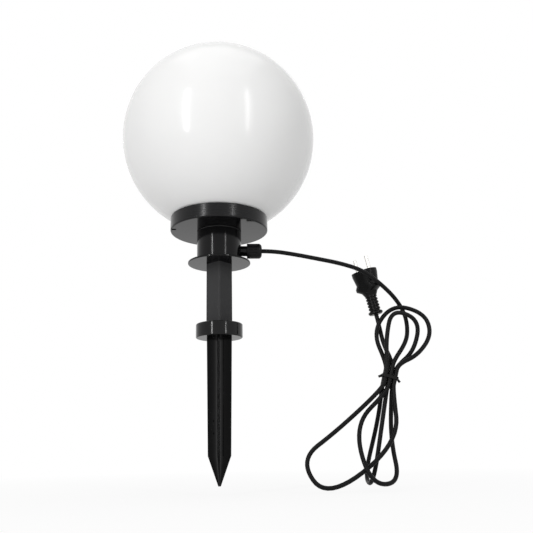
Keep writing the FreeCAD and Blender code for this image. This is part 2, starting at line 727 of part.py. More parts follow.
def holder_screws():
    """The three screws through skirt, collar and gasket into the neck's pillars."""
    reach = SKIRT_TOP_Z - NECK_TOP_Z + SCREW_REACH - SCREW_TIP_GAP
    return Part.makeCompound([
        screw(SCREW_HEAD_DIAMETER, SCREW_HEAD_HEIGHT, SCREW_DIAMETER, reach, point)
        for point in pillar_points(SKIRT_TOP_Z)
    ])


# Lamp


def lamp_contact():
    """The lamp's centre contact."""
    return cylinder(CONTACT_DIAMETER, CONTACT_HEIGHT, V(0, 0, LAMP_Z))


def lamp_insulator():
    """The insulator between the centre contact and the cap."""
    bottom = LAMP_Z + CONTACT_HEIGHT
    radius = CAP_DIAMETER / 2 - CAP_WALL
    top = CAP_Z + CAP_CONE_HEIGHT
    return turned([
        (0, bottom), (CONTACT_DIAMETER / 2, bottom), (radius, CAP_Z), (radius, top), (0, top),
    ])


def lamp_cap():
    """The metal screw cap."""
    return tube(CAP_DIAMETER, CAP_DIAMETER - 2 * CAP_WALL, CAP_LENGTH, V(0, 0, CAP_Z))


def lamp_housing():
    """The flared housing above the cap, with the spigot that the cap is crimped on."""
    spigot = CAP_DIAMETER / 2 - CAP_WALL
    low = CAP_DIAMETER / 2
    high = LAMP_DIAMETER / 2
    top = LAMP_BALL_Z - LAMP_WALL
    middle_z = (CAP_TOP_Z + top) / 2
    middle = low + (high - low) * LAMP_FLARE
    return turned([
        (0, CAP_TOP_Z - CAP_SPIGOT), (spigot, CAP_TOP_Z - CAP_SPIGOT), (spigot, CAP_TOP_Z), (low, CAP_TOP_Z),
        (middle, middle_z, "arc"), (high, top),
        (high - LAMP_WALL, top), (middle - LAMP_WALL, middle_z, "arc"),
        (low - LAMP_WALL, CAP_TOP_Z + LAMP_WALL), (0, CAP_TOP_Z + LAMP_WALL),
    ])


def led_board():
    """The round board that closes the housing and carries the light sources."""
    return cylinder(LAMP_DIAMETER - LAMP_WALL, BOARD_THICKNESS, V(0, 0, LAMP_BALL_Z - LAMP_WALL))


def lamp_envelope():
    """The lamp's domed diffuser."""
    outer = LAMP_DIAMETER / 2
    inner = outer - LAMP_WALL
    bottom = LAMP_BALL_Z - LAMP_WALL + BOARD_THICKNESS
    half = math.sqrt(0.5)
    return turned([
        (inner, bottom), (outer, bottom), (outer * half, bottom + outer * half, "arc"), (0, bottom + outer),
        (0, bottom + inner), (inner * half, bottom + inner * half, "arc"),
    ])


# Wiring in the neck


def pole_base(side):
    """The floor of one screw hole in the terminal block's top."""
    z = NECK_FLOOR_Z + BLOCK_HEIGHT - POLE_DEPTH
    return V(BLOCK_X - POLE_INSET, side * POLE_SPAN / 2, z)


def terminal_block():
    """The two-pole block on the neck's floor."""
    block = box(BLOCK_LENGTH, BLOCK_WIDTH, BLOCK_HEIGHT, BLOCK_X, 0, NECK_FLOOR_Z)
    groove_z = NECK_FLOOR_Z + BLOCK_HEIGHT - BLOCK_GROOVE_DEPTH
    groove = box(BLOCK_LENGTH, BLOCK_GROOVE_WIDTH, BLOCK_GROOVE_DEPTH, BLOCK_X, 0, groove_z)
    for side in (-1, 1):
        block = block.cut(cylinder(POLE_DIAMETER, POLE_DEPTH, pole_base(side)))
    return block.cut(groove)


def terminal_screws():
    """The block's two screws, sunk in its top."""
    screws = []
    for side in (-1, 1):
        base = pole_base(side)
        height = POLE_DEPTH - POLE_SCREW_DROP
        head = cylinder(POLE_DIAMETER, height, base)
        slot = box(POLE_DIAMETER, POLE_SLOT, POLE_SLOT, base.x, base.y, base.z + height - POLE_SLOT)
        screws.append(head.cut(slot))
    return Part.makeCompound(screws)


def cord_core(side):
    """One core of the cord, from the end of its sheath to the terminal block."""
    start = V(0, side * CORE_SPAN / 2, CORD_Z)
    end = V(BLOCK_X + BLOCK_LENGTH / 2, side * POLE_SPAN / 2, NECK_FLOOR_Z + BLOCK_HEIGHT / 2)
    straight = (end.x - start.x) * CORE_STRAIGHT
    first_bend = V(start.x + straight, start.y, start.z)
    last_bend = V(end.x - straight, end.y, end.z)
    return bent_tube([start, first_bend, last_bend, end], CORE_DIAMETER)[0]


def holder_lead(side):
    """One wire from the terminal block up to the lampholder's terminal."""
    base = V(BLOCK_X, side * POLE_SPAN / 2, NECK_FLOOR_Z + BLOCK_HEIGHT)
    top = HOLDER_Z - HOLDER_BASE_HEIGHT - TERMINAL_STANDOUT
    return cylinder(CORE_DIAMETER, top - base.z, base)


# Gland


def gland_body():
    """The gland's stem through the boss, its shoulder, and the cup for the seal."""
    stem_start = GLAND_IN_X - LOCKNUT_LENGTH
    stem = cylinder(GLAND_STEM_DIAMETER, GLAND_X - stem_start, V(stem_start, 0, CORD_Z), RIGHT)
    cup_base = V(GLAND_X, 0, CORD_Z)
    cup = cylinder(GLAND_CUP_DIAMETER, GLAND_SHOULDER + GLAND_CUP_LENGTH, cup_base, RIGHT)
    body = fused([stem, cup])
    body = body.cut(cylinder(GLAND_BORE, GLAND_END_X, V(0, 0, CORD_Z), RIGHT))
    seat = V(GLAND_X + GLAND_SHOULDER + GLAND_CUP_LENGTH - SEAL_LENGTH, 0, CORD_Z)
    return body.cut(cylinder(SEAL_DIAMETER, SEAL_LENGTH, seat, RIGHT))


def gland_seal():
    """The rubber bush round the cord in the gland's cup."""
    seat = V(GLAND_X + GLAND_SHOULDER + GLAND_CUP_LENGTH - SEAL_LENGTH, 0, CORD_Z)
    return tube(SEAL_DIAMETER, CORD_DIAMETER, SEAL_LENGTH, seat, RIGHT)


def gland_locknut():
    """The locknut on the stem, inside the neck."""
    base = V(GLAND_IN_X - LOCKNUT_LENGTH, 0, CORD_Z)
    nut = hexagon_bar(LOCKNUT_ACROSS, LOCKNUT_LENGTH, base, RIGHT)
    return nut.cut(cylinder(GLAND_STEM_DIAMETER, LOCKNUT_LENGTH, base, RIGHT))


def gland_nut():
    """The ribbed, domed nut that squeezes the seal on the cord."""
    start = GLAND_X + GLAND_SHOULDER
    outer = GLAND_NUT_DIAMETER / 2
    inner = GLAND_CUP_DIAMETER / 2 + SLIP_FIT
    throat = GLAND_BORE / 2
    chamber = GLAND_CUP_LENGTH
    skirt = GLAND_NUT_LENGTH - GLAND_NUT_DOME
    mouth = throat + GLAND_NUT_WALL
    dome = (outer + mouth) / 2 + GLAND_NUT_BULGE
    nut = turned([
        (inner, 0), (outer, 0), (outer, skirt), (dome, GLAND_NUT_LENGTH - GLAND_NUT_SHOULDER, "arc"),
        (mouth, GLAND_NUT_LENGTH), (throat, GLAND_NUT_LENGTH), (throat, chamber), (inner, chamber),
    ])
    groove_axis = outer + GLAND_GROOVE_DIAMETER / 2 - GLAND_RIB_DEPTH
    groove_length = skirt - GLAND_RIB_START - GLAND_RIB_END
    for step in range(GLAND_RIBS):
        groove = polar(groove_axis, 360 * step / GLAND_RIBS, GLAND_RIB_START)
        nut = nut.cut(cylinder(GLAND_GROOVE_DIAMETER, groove_length, groove))
    nut.rotate(V(0, 0, 0), V(0, 1, 0), 90)
    nut.translate(V(start, 0, CORD_Z))
    return nut


# Cord


def biarc(start, heading, end, leaving):
    """The two tangent arcs from start, heading that way, to end, leaving that way."""
    across = end - start
    both = heading + leaving
    spread = 2 * (1 - heading.dot(leaving))
    along = across.dot(both)
    if spread < 1e-9:
        reach = across.dot(across) / (2 * along)
    else:
        reach = (-along + math.sqrt(along**2 + spread * across.dot(across))) / spread
    meeting = (start + heading * reach + end - leaving * reach) * 0.5
    return [
        arc(start, start + heading * reach, meeting),
        arc(meeting, end - leaving * reach, end),
    ]


def arc(start, corner, end):
    """The arc from start to end whose end tangents meet at corner."""
    chord = end - start
    middle = (start + end) * 0.5
    rise = corner - middle
    if rise.Length < 1e-4 * chord.Length:
        return Part.LineSegment(start, end).toShape()
    half_turn = math.atan2(rise.Length, chord.Length / 2)
    sagitta = chord.Length / 2 * math.tan(half_turn / 2)
    rise.normalize()
    return Part.Arc(start, middle + rise * sagitta, end).toShape()


def swept(edges, diameter):
    """A round tube along a path of tangent edges, and the path's length."""
    path = Part.Wire(edges)
    first = edges[0]
    start = first.valueAt(first.FirstParameter)
    heading = first.tangentAt(first.FirstParameter)
    ring = Part.Wire([Part.Circle(start, heading, diameter / 2).toShape()])
    solid = path.makePipeShell([ring], True, False)
    length = path.Length
    share = solid.Volume / (math.pi * diameter**2 / 4 * length)
    print("tube: length %.1f, volume over section times length %.4f" % (length, share))
    return solid, length


def bent_edges(points):
    """Straight runs through points, joined by arcs as large as the runs allow."""
    edges = []
    radii = []
    reached = points[0]
    for before, corner, after in zip(points, points[1:], points[2:]):
        shorter = min((corner - before).Length, (after - corner).Length)
        inward = (before - corner).normalize()
        outward = (after - corner).normalize()
        turn = math.pi - inward.getAngle(outward)
        trim = BEND_SHARE * shorter
        radii.append(trim / math.tan(turn / 2))
        edges.append(Part.LineSegment(reached, corner + inward * trim).toShape())
        edges.append(arc(corner + inward * trim, corner, corner + outward * trim))
        reached = corner + outward * trim
    edges.append(Part.LineSegment(reached, points[-1]).toShape())
    return edges, radii


def bent_tube(points, diameter):
    """The tube along a route of points, with the radii of its bends."""
    edges, radii = bent_edges(points)
    return swept(edges, diameter)[0], radii


def tie_axes():
    """The hank's own axes at its tie: along its strands, across them, and in depth."""
    lean = math.radians(TIE_LEAN)
    along = V(math.sin(lean), 0, math.cos(lean))
    across = V(math.cos(lean), 0, -math.sin(lean))
    return along, across, V(0, 1, 0)


def slot_point(slot, rise):
    """A point on one strand's line through the tie, at a rise above the tie's centre."""
    along, across, depth = tie_axes()
    step_across, step_depth = slot
    side = across * (step_across * STRAND_PITCH)
    return TIE_CENTRE + side + depth * (step_depth * STRAND_PITCH / 2) + along * rise


def loop_corners(loop):
    """The four corners of one loop, from its left hip round to its right one."""
    lean = math.radians(loop["lean"])
    way = loop["way"]
    out = V(math.sin(lean), 0, way * math.cos(lean))
    right = V(math.cos(lean), 0, -way * math.sin(lean))
    left_reach, right_reach = loop["reach"]
    left_spread, right_spread = loop["spread"]
    sides = (
        (loop["hip"][0] * left_reach, -left_spread),
        (left_reach, -left_spread),
        (right_reach, right_spread),
        (loop["hip"][1] * right_reach, right_spread),
    )
    return [
        TIE_CENTRE + out * far + right * aside + V(0, depth, 0)
        for (far, aside), depth in zip(sides, loop["depths"])
    ]


def hank_corners():
    """The corners of the whole hank, from the lead's end to the tail's."""
    corners = [slot_point(HANK_SLOTS[0], HANK_END)]
    for loop, entered, left in zip(HANK_LOOPS, HANK_SLOTS, HANK_SLOTS[1:]):
        way = loop["way"]
        round_loop = loop_corners(loop)
        runs = loop["runs"]
        if loop["start"] == "right":
            round_loop = round_loop[::-1]
            runs = runs[::-1]
        corners += [slot_point(entered, way * STRAND_STRAIGHT), slot_point(entered, way * runs[0])]
        corners += round_loop
        corners += [slot_point(left, way * runs[1]), slot_point(left, way * STRAND_STRAIGHT)]
    return corners + [slot_point(HANK_SLOTS[-1], HANK_END)]


def hank_edges():
    """The hank's path: straight ends, and a biarc from the middle of each side to the next."""
    corners = hank_corners()
    first = (corners[1] - corners[0]).normalize()
    last = (corners[-1] - corners[-2]).normalize()
    start = corners[0] + first * CORD_DIAMETER
    end = corners[-1] - last * CORD_DIAMETER
    knots = [(start, first)]
    for before, after in zip(corners[1:-2], corners[2:-1]):
        knots.append(((before + after) * 0.5, (after - before).normalize()))
    knots.append((end, last))
    edges = [Part.LineSegment(corners[0], start).toShape()]
    for (here, heading), (there, leaving) in zip(knots, knots[1:]):
        edges.extend(biarc(here, heading, there, leaving))
    edges.append(Part.LineSegment(end, corners[-1]).toShape())
    return edges


def path_points(edges, step):
    """Points along a path at about one spacing, each with its distance from the start."""
    points = []
    travelled = 0.0
    for edge in edges:
        count = max(2, int(edge.Length / step) + 1)
        for index, point in enumerate(edge.discretize(count)[:-1]):
            points.append((travelled + edge.Length * index / (count - 1), point))
        travelled += edge.Length
    return points


def least_gap(edges, diameter):
    """The least clear distance between stretches of one path that aren't neighbours."""
    points = path_points(edges, GAP_STEP)
    least = math.inf
    for index, (here, a) in enumerate(points):
        for there, b in points[index + 1:]:
            if there - here > TURN_STRETCH:
                least = min(least, (b - a).Length)
    return least - diameter


def lead_points():
    """The lead's whole route, from the gland's nut to the hank."""
    points = [V(GLAND_END_X, 0, CORD_Z), V(GLAND_END_X + LEAD_EXIT, 0, CORD_Z)]
    points += [V(*point) for point in LEAD_ROUTE]
    return points + [slot_point(HANK_SLOTS[0], HANK_END + LEAD_CLOSE), slot_point(HANK_SLOTS[0], HANK_END)]


def tail_points():
    """The tail's whole route, from the plug's sleeve to the hank."""
    start = PLUG_FACE + plug_axis() * (PLUG_LENGTH + SLEEVE_LENGTH)
    points = [start, start + plug_axis() * TAIL_EXIT] + [V(*point) for point in TAIL_ROUTE]
    return points + [slot_point(HANK_SLOTS[-1], HANK_END + TAIL_CLOSE), slot_point(HANK_SLOTS[-1], HANK_END)]


def cord_entry():
    """The cord's straight stretch through the gland and under the clamp."""
    return cylinder(CORD_DIAMETER, GLAND_END_X, V(0, 0, CORD_Z), RIGHT)


def cord_hank():
    """The tied hank, one unbroken tube."""
    edges = hank_edges()
    print("hank: least gap to itself %.2f" % least_gap(edges, CORD_DIAMETER))
    return swept(edges, CORD_DIAMETER)[0]


def cord_tie():
    """The tie round the six strands, with a twisted knot at each side."""
    along, across, depth = tie_axes()
    wide = 2 * STRAND_PITCH + CORD_DIAMETER + 2 * SLIP_FIT
    deep = STRAND_PITCH + CORD_DIAMETER + 2 * SLIP_FIT
    droop = math.radians(TIE_KNOT_DROOP)
    bars = []
    for grow in (TIE_THICKNESS, 0.0):
        block = Part.makeBox(wide + 2 * grow, deep + 2 * grow, TIE_HEIGHT)
        block.translate(V(-wide / 2 - grow, -deep / 2 - grow, -TIE_HEIGHT / 2))
        upright = [e for e in block.Edges if abs(e.Vertexes[0].Z - e.Vertexes[1].Z) > TIE_HEIGHT / 2]
        bars.append(block.makeFillet(TIE_CORNER + grow, upright))
    band = bars[0].cut(bars[1])
    for side in (-1, 1):
        base = V(side * (wide / 2 + TIE_THICKNESS / 2), 0, 0)
        knot_way = V(side * math.cos(droop), 0, -math.sin(droop))
        band = band.fuse(cylinder(TIE_KNOT_DIAMETER, TIE_KNOT_LENGTH, base, knot_way))
    band = band.cut(bars[1])
    band.rotate(V(0, 0, 0), V(0, 1, 0), TIE_LEAN)
    band.translate(TIE_CENTRE)
    return band


# Plug


def plug_axis():
    """The direction from the plug's face back to its cord."""
    lean = math.radians(PLUG_LEAN)
    return V(-math.sin(lean), 0, -math.cos(lean))


def placed_on_plug(shape):
    """A shape made along +Z from the plug's face, moved to where the plug hangs."""
    shape.rotate(V(0, 0, 0), UP, PLUG_TURN)
    shape.rotate(V(0, 0, 0), V(0, 1, 0), 180 + PLUG_LEAN)
    shape.translate(PLUG_FACE)
    return shape


def stadium(width, thickness, z):
    """A flat-sided outline with half-round ends, on the plug's own axis."""
    half = thickness / 2
    side = width / 2 - half
    return Part.Wire([
        Part.LineSegment(V(-side, -half, z), V(side, -half, z)).toShape(),
        Part.Arc(V(side, -half, z), V(side + half, 0, z), V(side, half, z)).toShape(),
        Part.LineSegment(V(side, half, z), V(-side, half, z)).toShape(),
        Part.Arc(V(-side, half, z), V(-side - half, 0, z), V(-side, -half, z)).toShape(),
    ])


def plug_body():
    """The moulded plug, drawn in behind its face, with finger wings and a shoulder."""
    sections = [
        stadium(PLUG_WIDTH * width, PLUG_THICKNESS * thickness, PLUG_LENGTH * back)
        for width, thickness, back in PLUG_SECTIONS
    ]
    sections.append(stadium(SLEEVE_DIAMETER * PLUG_NECK_OVAL, SLEEVE_DIAMETER, PLUG_LENGTH))
    body = Part.makeLoft(sections, True, True)
    for side in (-1, 1):
        body = body.cut(cylinder(PIN_ROOT_DIAMETER, PIN_ROOT, V(side * PIN_SPAN / 2, 0, 0)))
    return placed_on_plug(body)


def plug_sleeve():
    """The ribbed strain relief behind the plug, with its end collar."""
    radius = SLEEVE_DIAMETER / 2
    ribbed = SLEEVE_LENGTH - SLEEVE_COLLAR_LENGTH
    step = ribbed / SLEEVE_RIBS
    rib_end, groove_start, groove_end = SLEEVE_RIB_SHAPE
    profile = [(0, 0), (radius, 0)]
    for rib in range(SLEEVE_RIBS):
        z = rib * step
        profile += [(radius, z + step * rib_end), (radius - SLEEVE_GROOVE, z + step * groove_start)]
        profile += [(radius - SLEEVE_GROOVE, z + step * groove_end), (radius, z + step)]
    collar_radius = SLEEVE_COLLAR_DIAMETER / 2
    profile += [(collar_radius, ribbed + SLEEVE_COLLAR_RISE)]
    profile += [(collar_radius, SLEEVE_LENGTH - SLEEVE_COLLAR_EDGE)]
    profile += [(collar_radius - SLEEVE_COLLAR_EDGE, SLEEVE_LENGTH), (0, SLEEVE_LENGTH)]
    sleeve = turned(profile)
    sleeve.translate(V(0, 0, PLUG_LENGTH))
    return placed_on_plug(sleeve)


def plug_pins():
    """The two round pins, each with a thinner root in the plug and a rounded end."""
    pins = []
    for side in (-1, 1):
        pin = cylinder(PIN_DIAMETER, PIN_LENGTH, V(side * PIN_SPAN / 2, 0, -PIN_LENGTH))
        pin = pin.makeFillet(PIN_END_RADIUS, edges_at(pin, -PIN_LENGTH))
        root = cylinder(PIN_ROOT_DIAMETER, PIN_ROOT, V(side * PIN_SPAN / 2, 0, 0))
        pins.append(fused([pin, root]))
    return placed_on_plug(Part.makeCompound(pins))


def cord_tubes():
    """The cord's two free stretches."""
    lead, lead_radii = bent_tube(lead_points(), CORD_DIAMETER)
    tail, tail_radii = bent_tube(tail_points(), CORD_DIAMETER)
    print("lead radii:", " ".join("%.0f" % radius for radius in lead_radii))
    print("tail radii:", " ".join("%.0f" % radius for radius in tail_radii))
    return lead, tail


def build():
    """Every sub-part by its name."""
    lead, tail = cord_tubes()
    return {
        "ground_spike": ground_spike(),
        "post_tube": post_tube(),
        "post_insert": post_insert(),
        "captive_nut": captive_nut(),
        "fixing_washer": fixing_washer(),
        "fixing_bolt": fixing_bolt(),
        "base_flange": base_flange(),
        "neck_housing": neck_housing(),
        "neck_gasket": neck_gasket(),
        "cord_clamp": cord_clamp(),
        "clamp_screws": clamp_screws(),
        "collar": collar(),
        "globe": globe(),
        "globe_gasket": globe_gasket(),
        "lampholder_body": lampholder_body(),
        "lampholder_shell": lampholder_shell(),
        "lampholder_base": lampholder_base(),
        "lampholder_terminals": lampholder_terminals(),
        "lampholder_plunger": lampholder_plunger(),
        "holder_screws": holder_screws(),
        "lamp_contact": lamp_contact(),
        "lamp_insulator": lamp_insulator(),
        "lamp_cap": lamp_cap(),
        "lamp_housing": lamp_housing(),
        "led_board": led_board(),
        "lamp_envelope": lamp_envelope(),
        "terminal_block": terminal_block(),
        "terminal_screws": terminal_screws(),
        "live_core": cord_core(1),
        "neutral_core": cord_core(-1),
        "live_lead": holder_lead(1),
        "neutral_lead": holder_lead(-1),
        "gland_body": gland_body(),
        "gland_seal": gland_seal(),
        "gland_locknut": gland_locknut(),
        "gland_nut": gland_nut(),
        "cord_entry": cord_entry(),
        "cord_lead": lead,
        "cord_hank": cord_hank(),
        "cord_tail": tail,
        "cord_tie": cord_tie(),
        "plug_body": plug_body(),
        "plug_sleeve": plug_sleeve(),
        "plug_pins": plug_pins(),
    }


os.makedirs("parts", exist_ok=True)
for name, shape in build().items():
    shape.exportStep("parts/" + name + ".step")
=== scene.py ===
"""Garden globe light: finishes, globe, cord, screw threads and light sources round the frame.

Metres, +Z up along the lamp's axis. The origin is the centre of the stop ring's underside, and
the cord gland points along +X.
"""
import math

import bmesh
import bpy
from bpy.props import FloatProperty, FloatVectorProperty, IntProperty, PointerProperty
from mathutils import Euler, Matrix, Vector


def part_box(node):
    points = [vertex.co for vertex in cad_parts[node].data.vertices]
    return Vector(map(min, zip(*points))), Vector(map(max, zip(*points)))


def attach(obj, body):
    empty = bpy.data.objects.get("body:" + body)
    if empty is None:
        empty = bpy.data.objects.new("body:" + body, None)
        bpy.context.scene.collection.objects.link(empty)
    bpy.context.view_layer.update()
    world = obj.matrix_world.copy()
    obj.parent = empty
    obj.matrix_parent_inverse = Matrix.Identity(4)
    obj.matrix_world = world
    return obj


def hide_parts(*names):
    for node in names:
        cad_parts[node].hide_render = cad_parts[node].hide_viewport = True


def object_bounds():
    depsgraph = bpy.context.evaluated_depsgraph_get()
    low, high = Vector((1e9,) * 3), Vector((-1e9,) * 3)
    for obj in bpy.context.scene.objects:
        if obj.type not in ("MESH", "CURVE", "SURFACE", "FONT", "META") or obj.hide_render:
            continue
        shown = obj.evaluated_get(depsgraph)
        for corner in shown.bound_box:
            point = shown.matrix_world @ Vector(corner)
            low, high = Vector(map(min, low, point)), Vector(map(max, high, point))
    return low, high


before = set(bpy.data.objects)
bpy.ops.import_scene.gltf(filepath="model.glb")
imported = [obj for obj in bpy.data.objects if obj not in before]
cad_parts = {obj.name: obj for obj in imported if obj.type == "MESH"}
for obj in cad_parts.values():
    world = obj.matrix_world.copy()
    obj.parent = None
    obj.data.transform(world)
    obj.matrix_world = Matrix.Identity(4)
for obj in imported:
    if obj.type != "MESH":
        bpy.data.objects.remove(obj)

bl_info = {
    "name": "Garden Globe Light",
    "version": (1, 0, 0),
    "blender": (4, 5, 0),
    "location": "View3D > Sidebar > Garden Light",
    "description": "Makes a garden globe light on its ground spike, with its tied cord and plug",
    "category": "Object",
}

MM = 0.001
CAD_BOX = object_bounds()

# Boxes of the frame's nodes, and the cord's exit at the gland
GLOBE_LOW, GLOBE_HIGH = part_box("globe")
COLLAR_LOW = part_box("collar")[0]
NUT_LOW, NUT_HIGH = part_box("gland_nut")
SHELL_LOW, SHELL_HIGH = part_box("lampholder_shell")
CAP_LOW, CAP_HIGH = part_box("lamp_cap")
BOARD_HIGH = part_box("led_board")[1]
CORD_Z = (NUT_LOW.z + NUT_HIGH.z) / 2
CORD_EXIT = Vector((NUT_HIGH.x, 0, CORD_Z))

# Route of the cord's lead, from the gland down to the tie
LEAD_STRAIGHT = 0.015
LEAD_ROUTE = (
    (0.0960, -0.0010, 0.1065),
    (0.1250, -0.0030, 0.1000),
    (0.1530, -0.0070, 0.0930),
    (0.1810, -0.0095, 0.0830),
    (0.2034, -0.0059, 0.0662),
    (0.2241, 0.0052, 0.0498),
    (0.2367, 0.0112, 0.0301),
    (0.2374, 0.0081, 0.0077),
    (0.2293, -0.0036, -0.0098),
)
LEAD_CLOSE = 0.012

# Route of the cord's tail, from the plug down to the tie
TAIL_STRAIGHT = 0.010
TAIL_ROUTE = (
    (0.2050, 0.0086, -0.0084),
    (0.2121, 0.0039, -0.0273),
)
TAIL_CLOSE = 0.006

# The tie, the strands in it and the five loops of the hank. A loop goes up (way 1) or down (way -1)
# from the tie and leans by degrees. Its spread, reach, hip and runs each say left, then right. The
# hips are shares of the reach, depths go round its four corners, and start is the side on which the
# cord enters it. A shoulder is one more corner between the two far ones.
TIE_CENTRE = Vector((0.208, 0.0, -0.050))
TIE_LEAN = math.radians(16.0)
STRAND_PITCH = 0.006
STRAND_STRAIGHT = 0.003
HANK_END = 0.008
HANK_SLOTS = ((0, -1), (1, 1), (-1, -1), (1, -1), (-1, 1), (0, 1))
HANK_LOOPS = (
    dict(way=-1, lean=7.0, spread=(0.0524, -0.0099), reach=(0.1179, 0.1242), hip=(0.42, 0.59),
         runs=(0.0179, 0.0145), start="left", depths=(0.0070, -0.0216, 0.0042, 0.0138)),
    dict(way=1, lean=13.3, spread=(0.0130, 0.0260), reach=(0.0834, 0.0791), hip=(0.53, 0.50),
         runs=(0.0107, 0.0153), start="right", depths=(-0.0041, -0.0069, -0.0010, 0.0034)),
    dict(way=-1, lean=-54.9, spread=(-0.0120, 0.0668), reach=(0.1480, 0.1495), hip=(0.62, 0.28),
         runs=(0.0156, 0.0131), start="left", depths=(-0.0005, 0.0053, -0.0021, -0.0075)),
    dict(way=1, lean=38.0, spread=(0.0483, 0.0125), reach=(0.0792, 0.0760), hip=(0.45, 0.56),
         runs=(0.0146, 0.0177), start="right", depths=(0.0076, 0.0036, -0.0027, -0.0050),
         shoulder=(0.0938, -0.0099, 0.0005)),
    dict(way=-1, lean=-12.0, spread=(0.0026, -0.0007), reach=(0.1204, 0.1318), hip=(0.44, 0.33),
         runs=(0.0142, 0.0106), start="left", depths=(0.0195, 0.0520, 0.0041, 0.0039)),
)

# Where the plug hangs
PLUG_FACE = Vector((0.1872, 0.0140, 0.0876))
PLUG_LEAN = math.radians(-12.4)
PLUG_LENGTH = 0.033
SLEEVE_LENGTH = 0.025

# How finely things are made: points on the globe's profile, its crease angle in degrees, the lip's
# bevel as a share of the wall, steps to a turn of thread, sides of its ridge, and gaps in metres
OUTSIDE_POINTS = 72
INSIDE_POINTS = 48
GLOBE_CREASE = 50
LIP_EASE = 0.2
THREAD_STEPS = 96
RIDGE_SIDES = 8
MERGE_GAP = 1e-6
ON_AXIS = 1e-7

# How far above a flat underside a finish still counts as that underside
FACE_SLACK = 0.0003

# The photograph's fitted lens, the softboxes' places and how far the floor reaches
FOCAL_PIXELS = 662.889
PHOTO_PIXELS = 533
SENSOR_WIDTH = 36.0
LIT_MIDDLE = Vector((0.0, 0.0, 0.12))
OVERHEAD_SIZE = (1.6, 1.6)
OVERHEAD_PLACE = Vector((0.0, -0.3, 1.9))
LEFT_PLACE = Vector((-1.27, -1.75, 0.64))
RIGHT_PLACE = Vector((1.13, -1.84, 0.64))
FLOOR_REACH = 6.0


class Signal:
    """A number, vector or colour that travels along a node tree, written as ordinary maths."""

    def __init__(self, tree, socket):
        self.tree = tree
        self.socket = socket

    def __add__(self, other):
        return self.tree.maths("ADD", self, other)

    def __radd__(self, other):
        return self.tree.maths("ADD", other, self)

    def __sub__(self, other):
        return self.tree.maths("SUBTRACT", self, other)

    def __rsub__(self, other):
        return self.tree.maths("SUBTRACT", other, self)

    def __mul__(self, other):
        return self.tree.maths("MULTIPLY", self, other)

    def __rmul__(self, other):
        return self.tree.maths("MULTIPLY", other, self)


class Tree:
    """A node tree that is built up one node at a time."""

    def __init__(self, nodes_owner):
        self.owner = nodes_owner

    def node(self, kind, settings=None, inputs=None, output=0):
        """One node: its settings first, then its sockets' values or links; returns one output."""
        made = self.owner.nodes.new(kind)
        for key, value in (settings or {}).items():
            if key == "stops":
                set_stops(made.color_ramp, value)
            else:
                setattr(made, key, value)
        for key, value in (inputs or {}).items():
            socket = made.inputs[key]
            if isinstance(value, Signal):
                self.owner.links.new(value.socket, socket)
            else:
                socket.default_value = value
        return Signal(self, made.outputs[output]) if made.outputs else None

    def maths(self, operation, first, second):
        """A Math node on numbers or links."""
        return self.node("ShaderNodeMath", {"operation": operation}, {0: first, 1: second})


def set_stops(ramp, stops):
    """Gives a colour ramp its stops, each a place and a grey level."""
    while len(ramp.elements) < len(stops):
        ramp.elements.new(0.5)
    for element, (place, level) in zip(ramp.elements, stops):
        element.position = place
        element.color = (level, level, level, 1.0)


class Finish(Tree):
    """A material under construction."""

    def __init__(self, name):
        self.material = bpy.data.materials.new(name)
        self.material.use_nodes = True
        super().__init__(self.material.node_tree)
        self.owner.nodes.clear()
        self.place = self.node("ShaderNodeTexCoord", output="Object")

    def noise(self, scale, detail=2.0, roughness=0.5, stretch=(1.0, 1.0, 1.0)):
        """Smooth noise over the piece, as many bumps to a metre as scale says."""
        where = self.node("ShaderNodeMapping", {}, {"Vector": self.place, "Scale": stretch})
        sizes = {"Vector": where, "Scale": scale, "Detail": detail, "Roughness": roughness}
        return self.node("ShaderNodeTexNoise", {}, sizes, "Fac")

    def flecks(self, scale, most):
        """Small round flecks: 1 inside each, 0 outside."""
        away = self.node("ShaderNodeTexVoronoi", {}, {"Vector": self.place, "Scale": scale}, "Distance")
        return self.maths("LESS_THAN", away, most)

    def height(self):
        """Height in the piece's own coordinates."""
        return self.node("ShaderNodeSeparateXYZ", {}, {"Vector": self.place}, "Z")

    def ramp(self, signal, stops):
        """A signal passed through grey stops."""
        return self.node("ShaderNodeValToRGB", {"stops": stops}, {"Fac": signal})

    def mixed(self, share, first, second):
        """Two colours mixed by a share."""
        settings = {"data_type": "RGBA", "clamp_factor": True}
        return self.node("ShaderNodeMix", settings, {0: share, 6: opaque(first), 7: opaque(second)}, 2)

    def bump(self, height, distance, strength=1.0, under=None):
        """The normal of a relief of this height, over another relief where one is given."""
        inputs = {"Height": height, "Distance": distance, "Strength": strength}
        if under is not None:
            inputs["Normal"] = under
        return self.node("ShaderNodeBump", {}, inputs)

    def done(self, base, roughness, normal=None, metallic=0.0, level=0.5, **rest):
        """Closes the material with one shader and returns it."""
        inputs = {
            "Base Color": opaque(base),
            "Roughness": roughness,
            "Metallic": metallic,
            "Specular IOR Level": level,
        }
        if normal is not None:
            inputs["Normal"] = normal
        inputs.update(rest)
        shader = self.node("ShaderNodeBsdfPrincipled", {}, inputs)
        self.node("ShaderNodeOutputMaterial", {}, {"Surface": shader})
        return self.material


def opaque(colour):
    """A colour with its alpha, or a link as it is."""
    return colour if isinstance(colour, Signal) else (*colour[:3], 1.0)


# Finishes


def opal_finish(look):
    """Blown opal: glossy white with a barely uneven skin."""
    finish = Finish("opal_globe")
    cloud = finish.noise(9.0, 2.0)
    white = finish.mixed(cloud, tuple(look.colour), tuple(0.985 * part for part in look.colour))
    ripple = finish.bump(finish.noise(28.0, 1.0), 0.00025, 0.35)
    return finish.done(white, look.roughness + 0.02 * cloud, ripple, level=0.3)


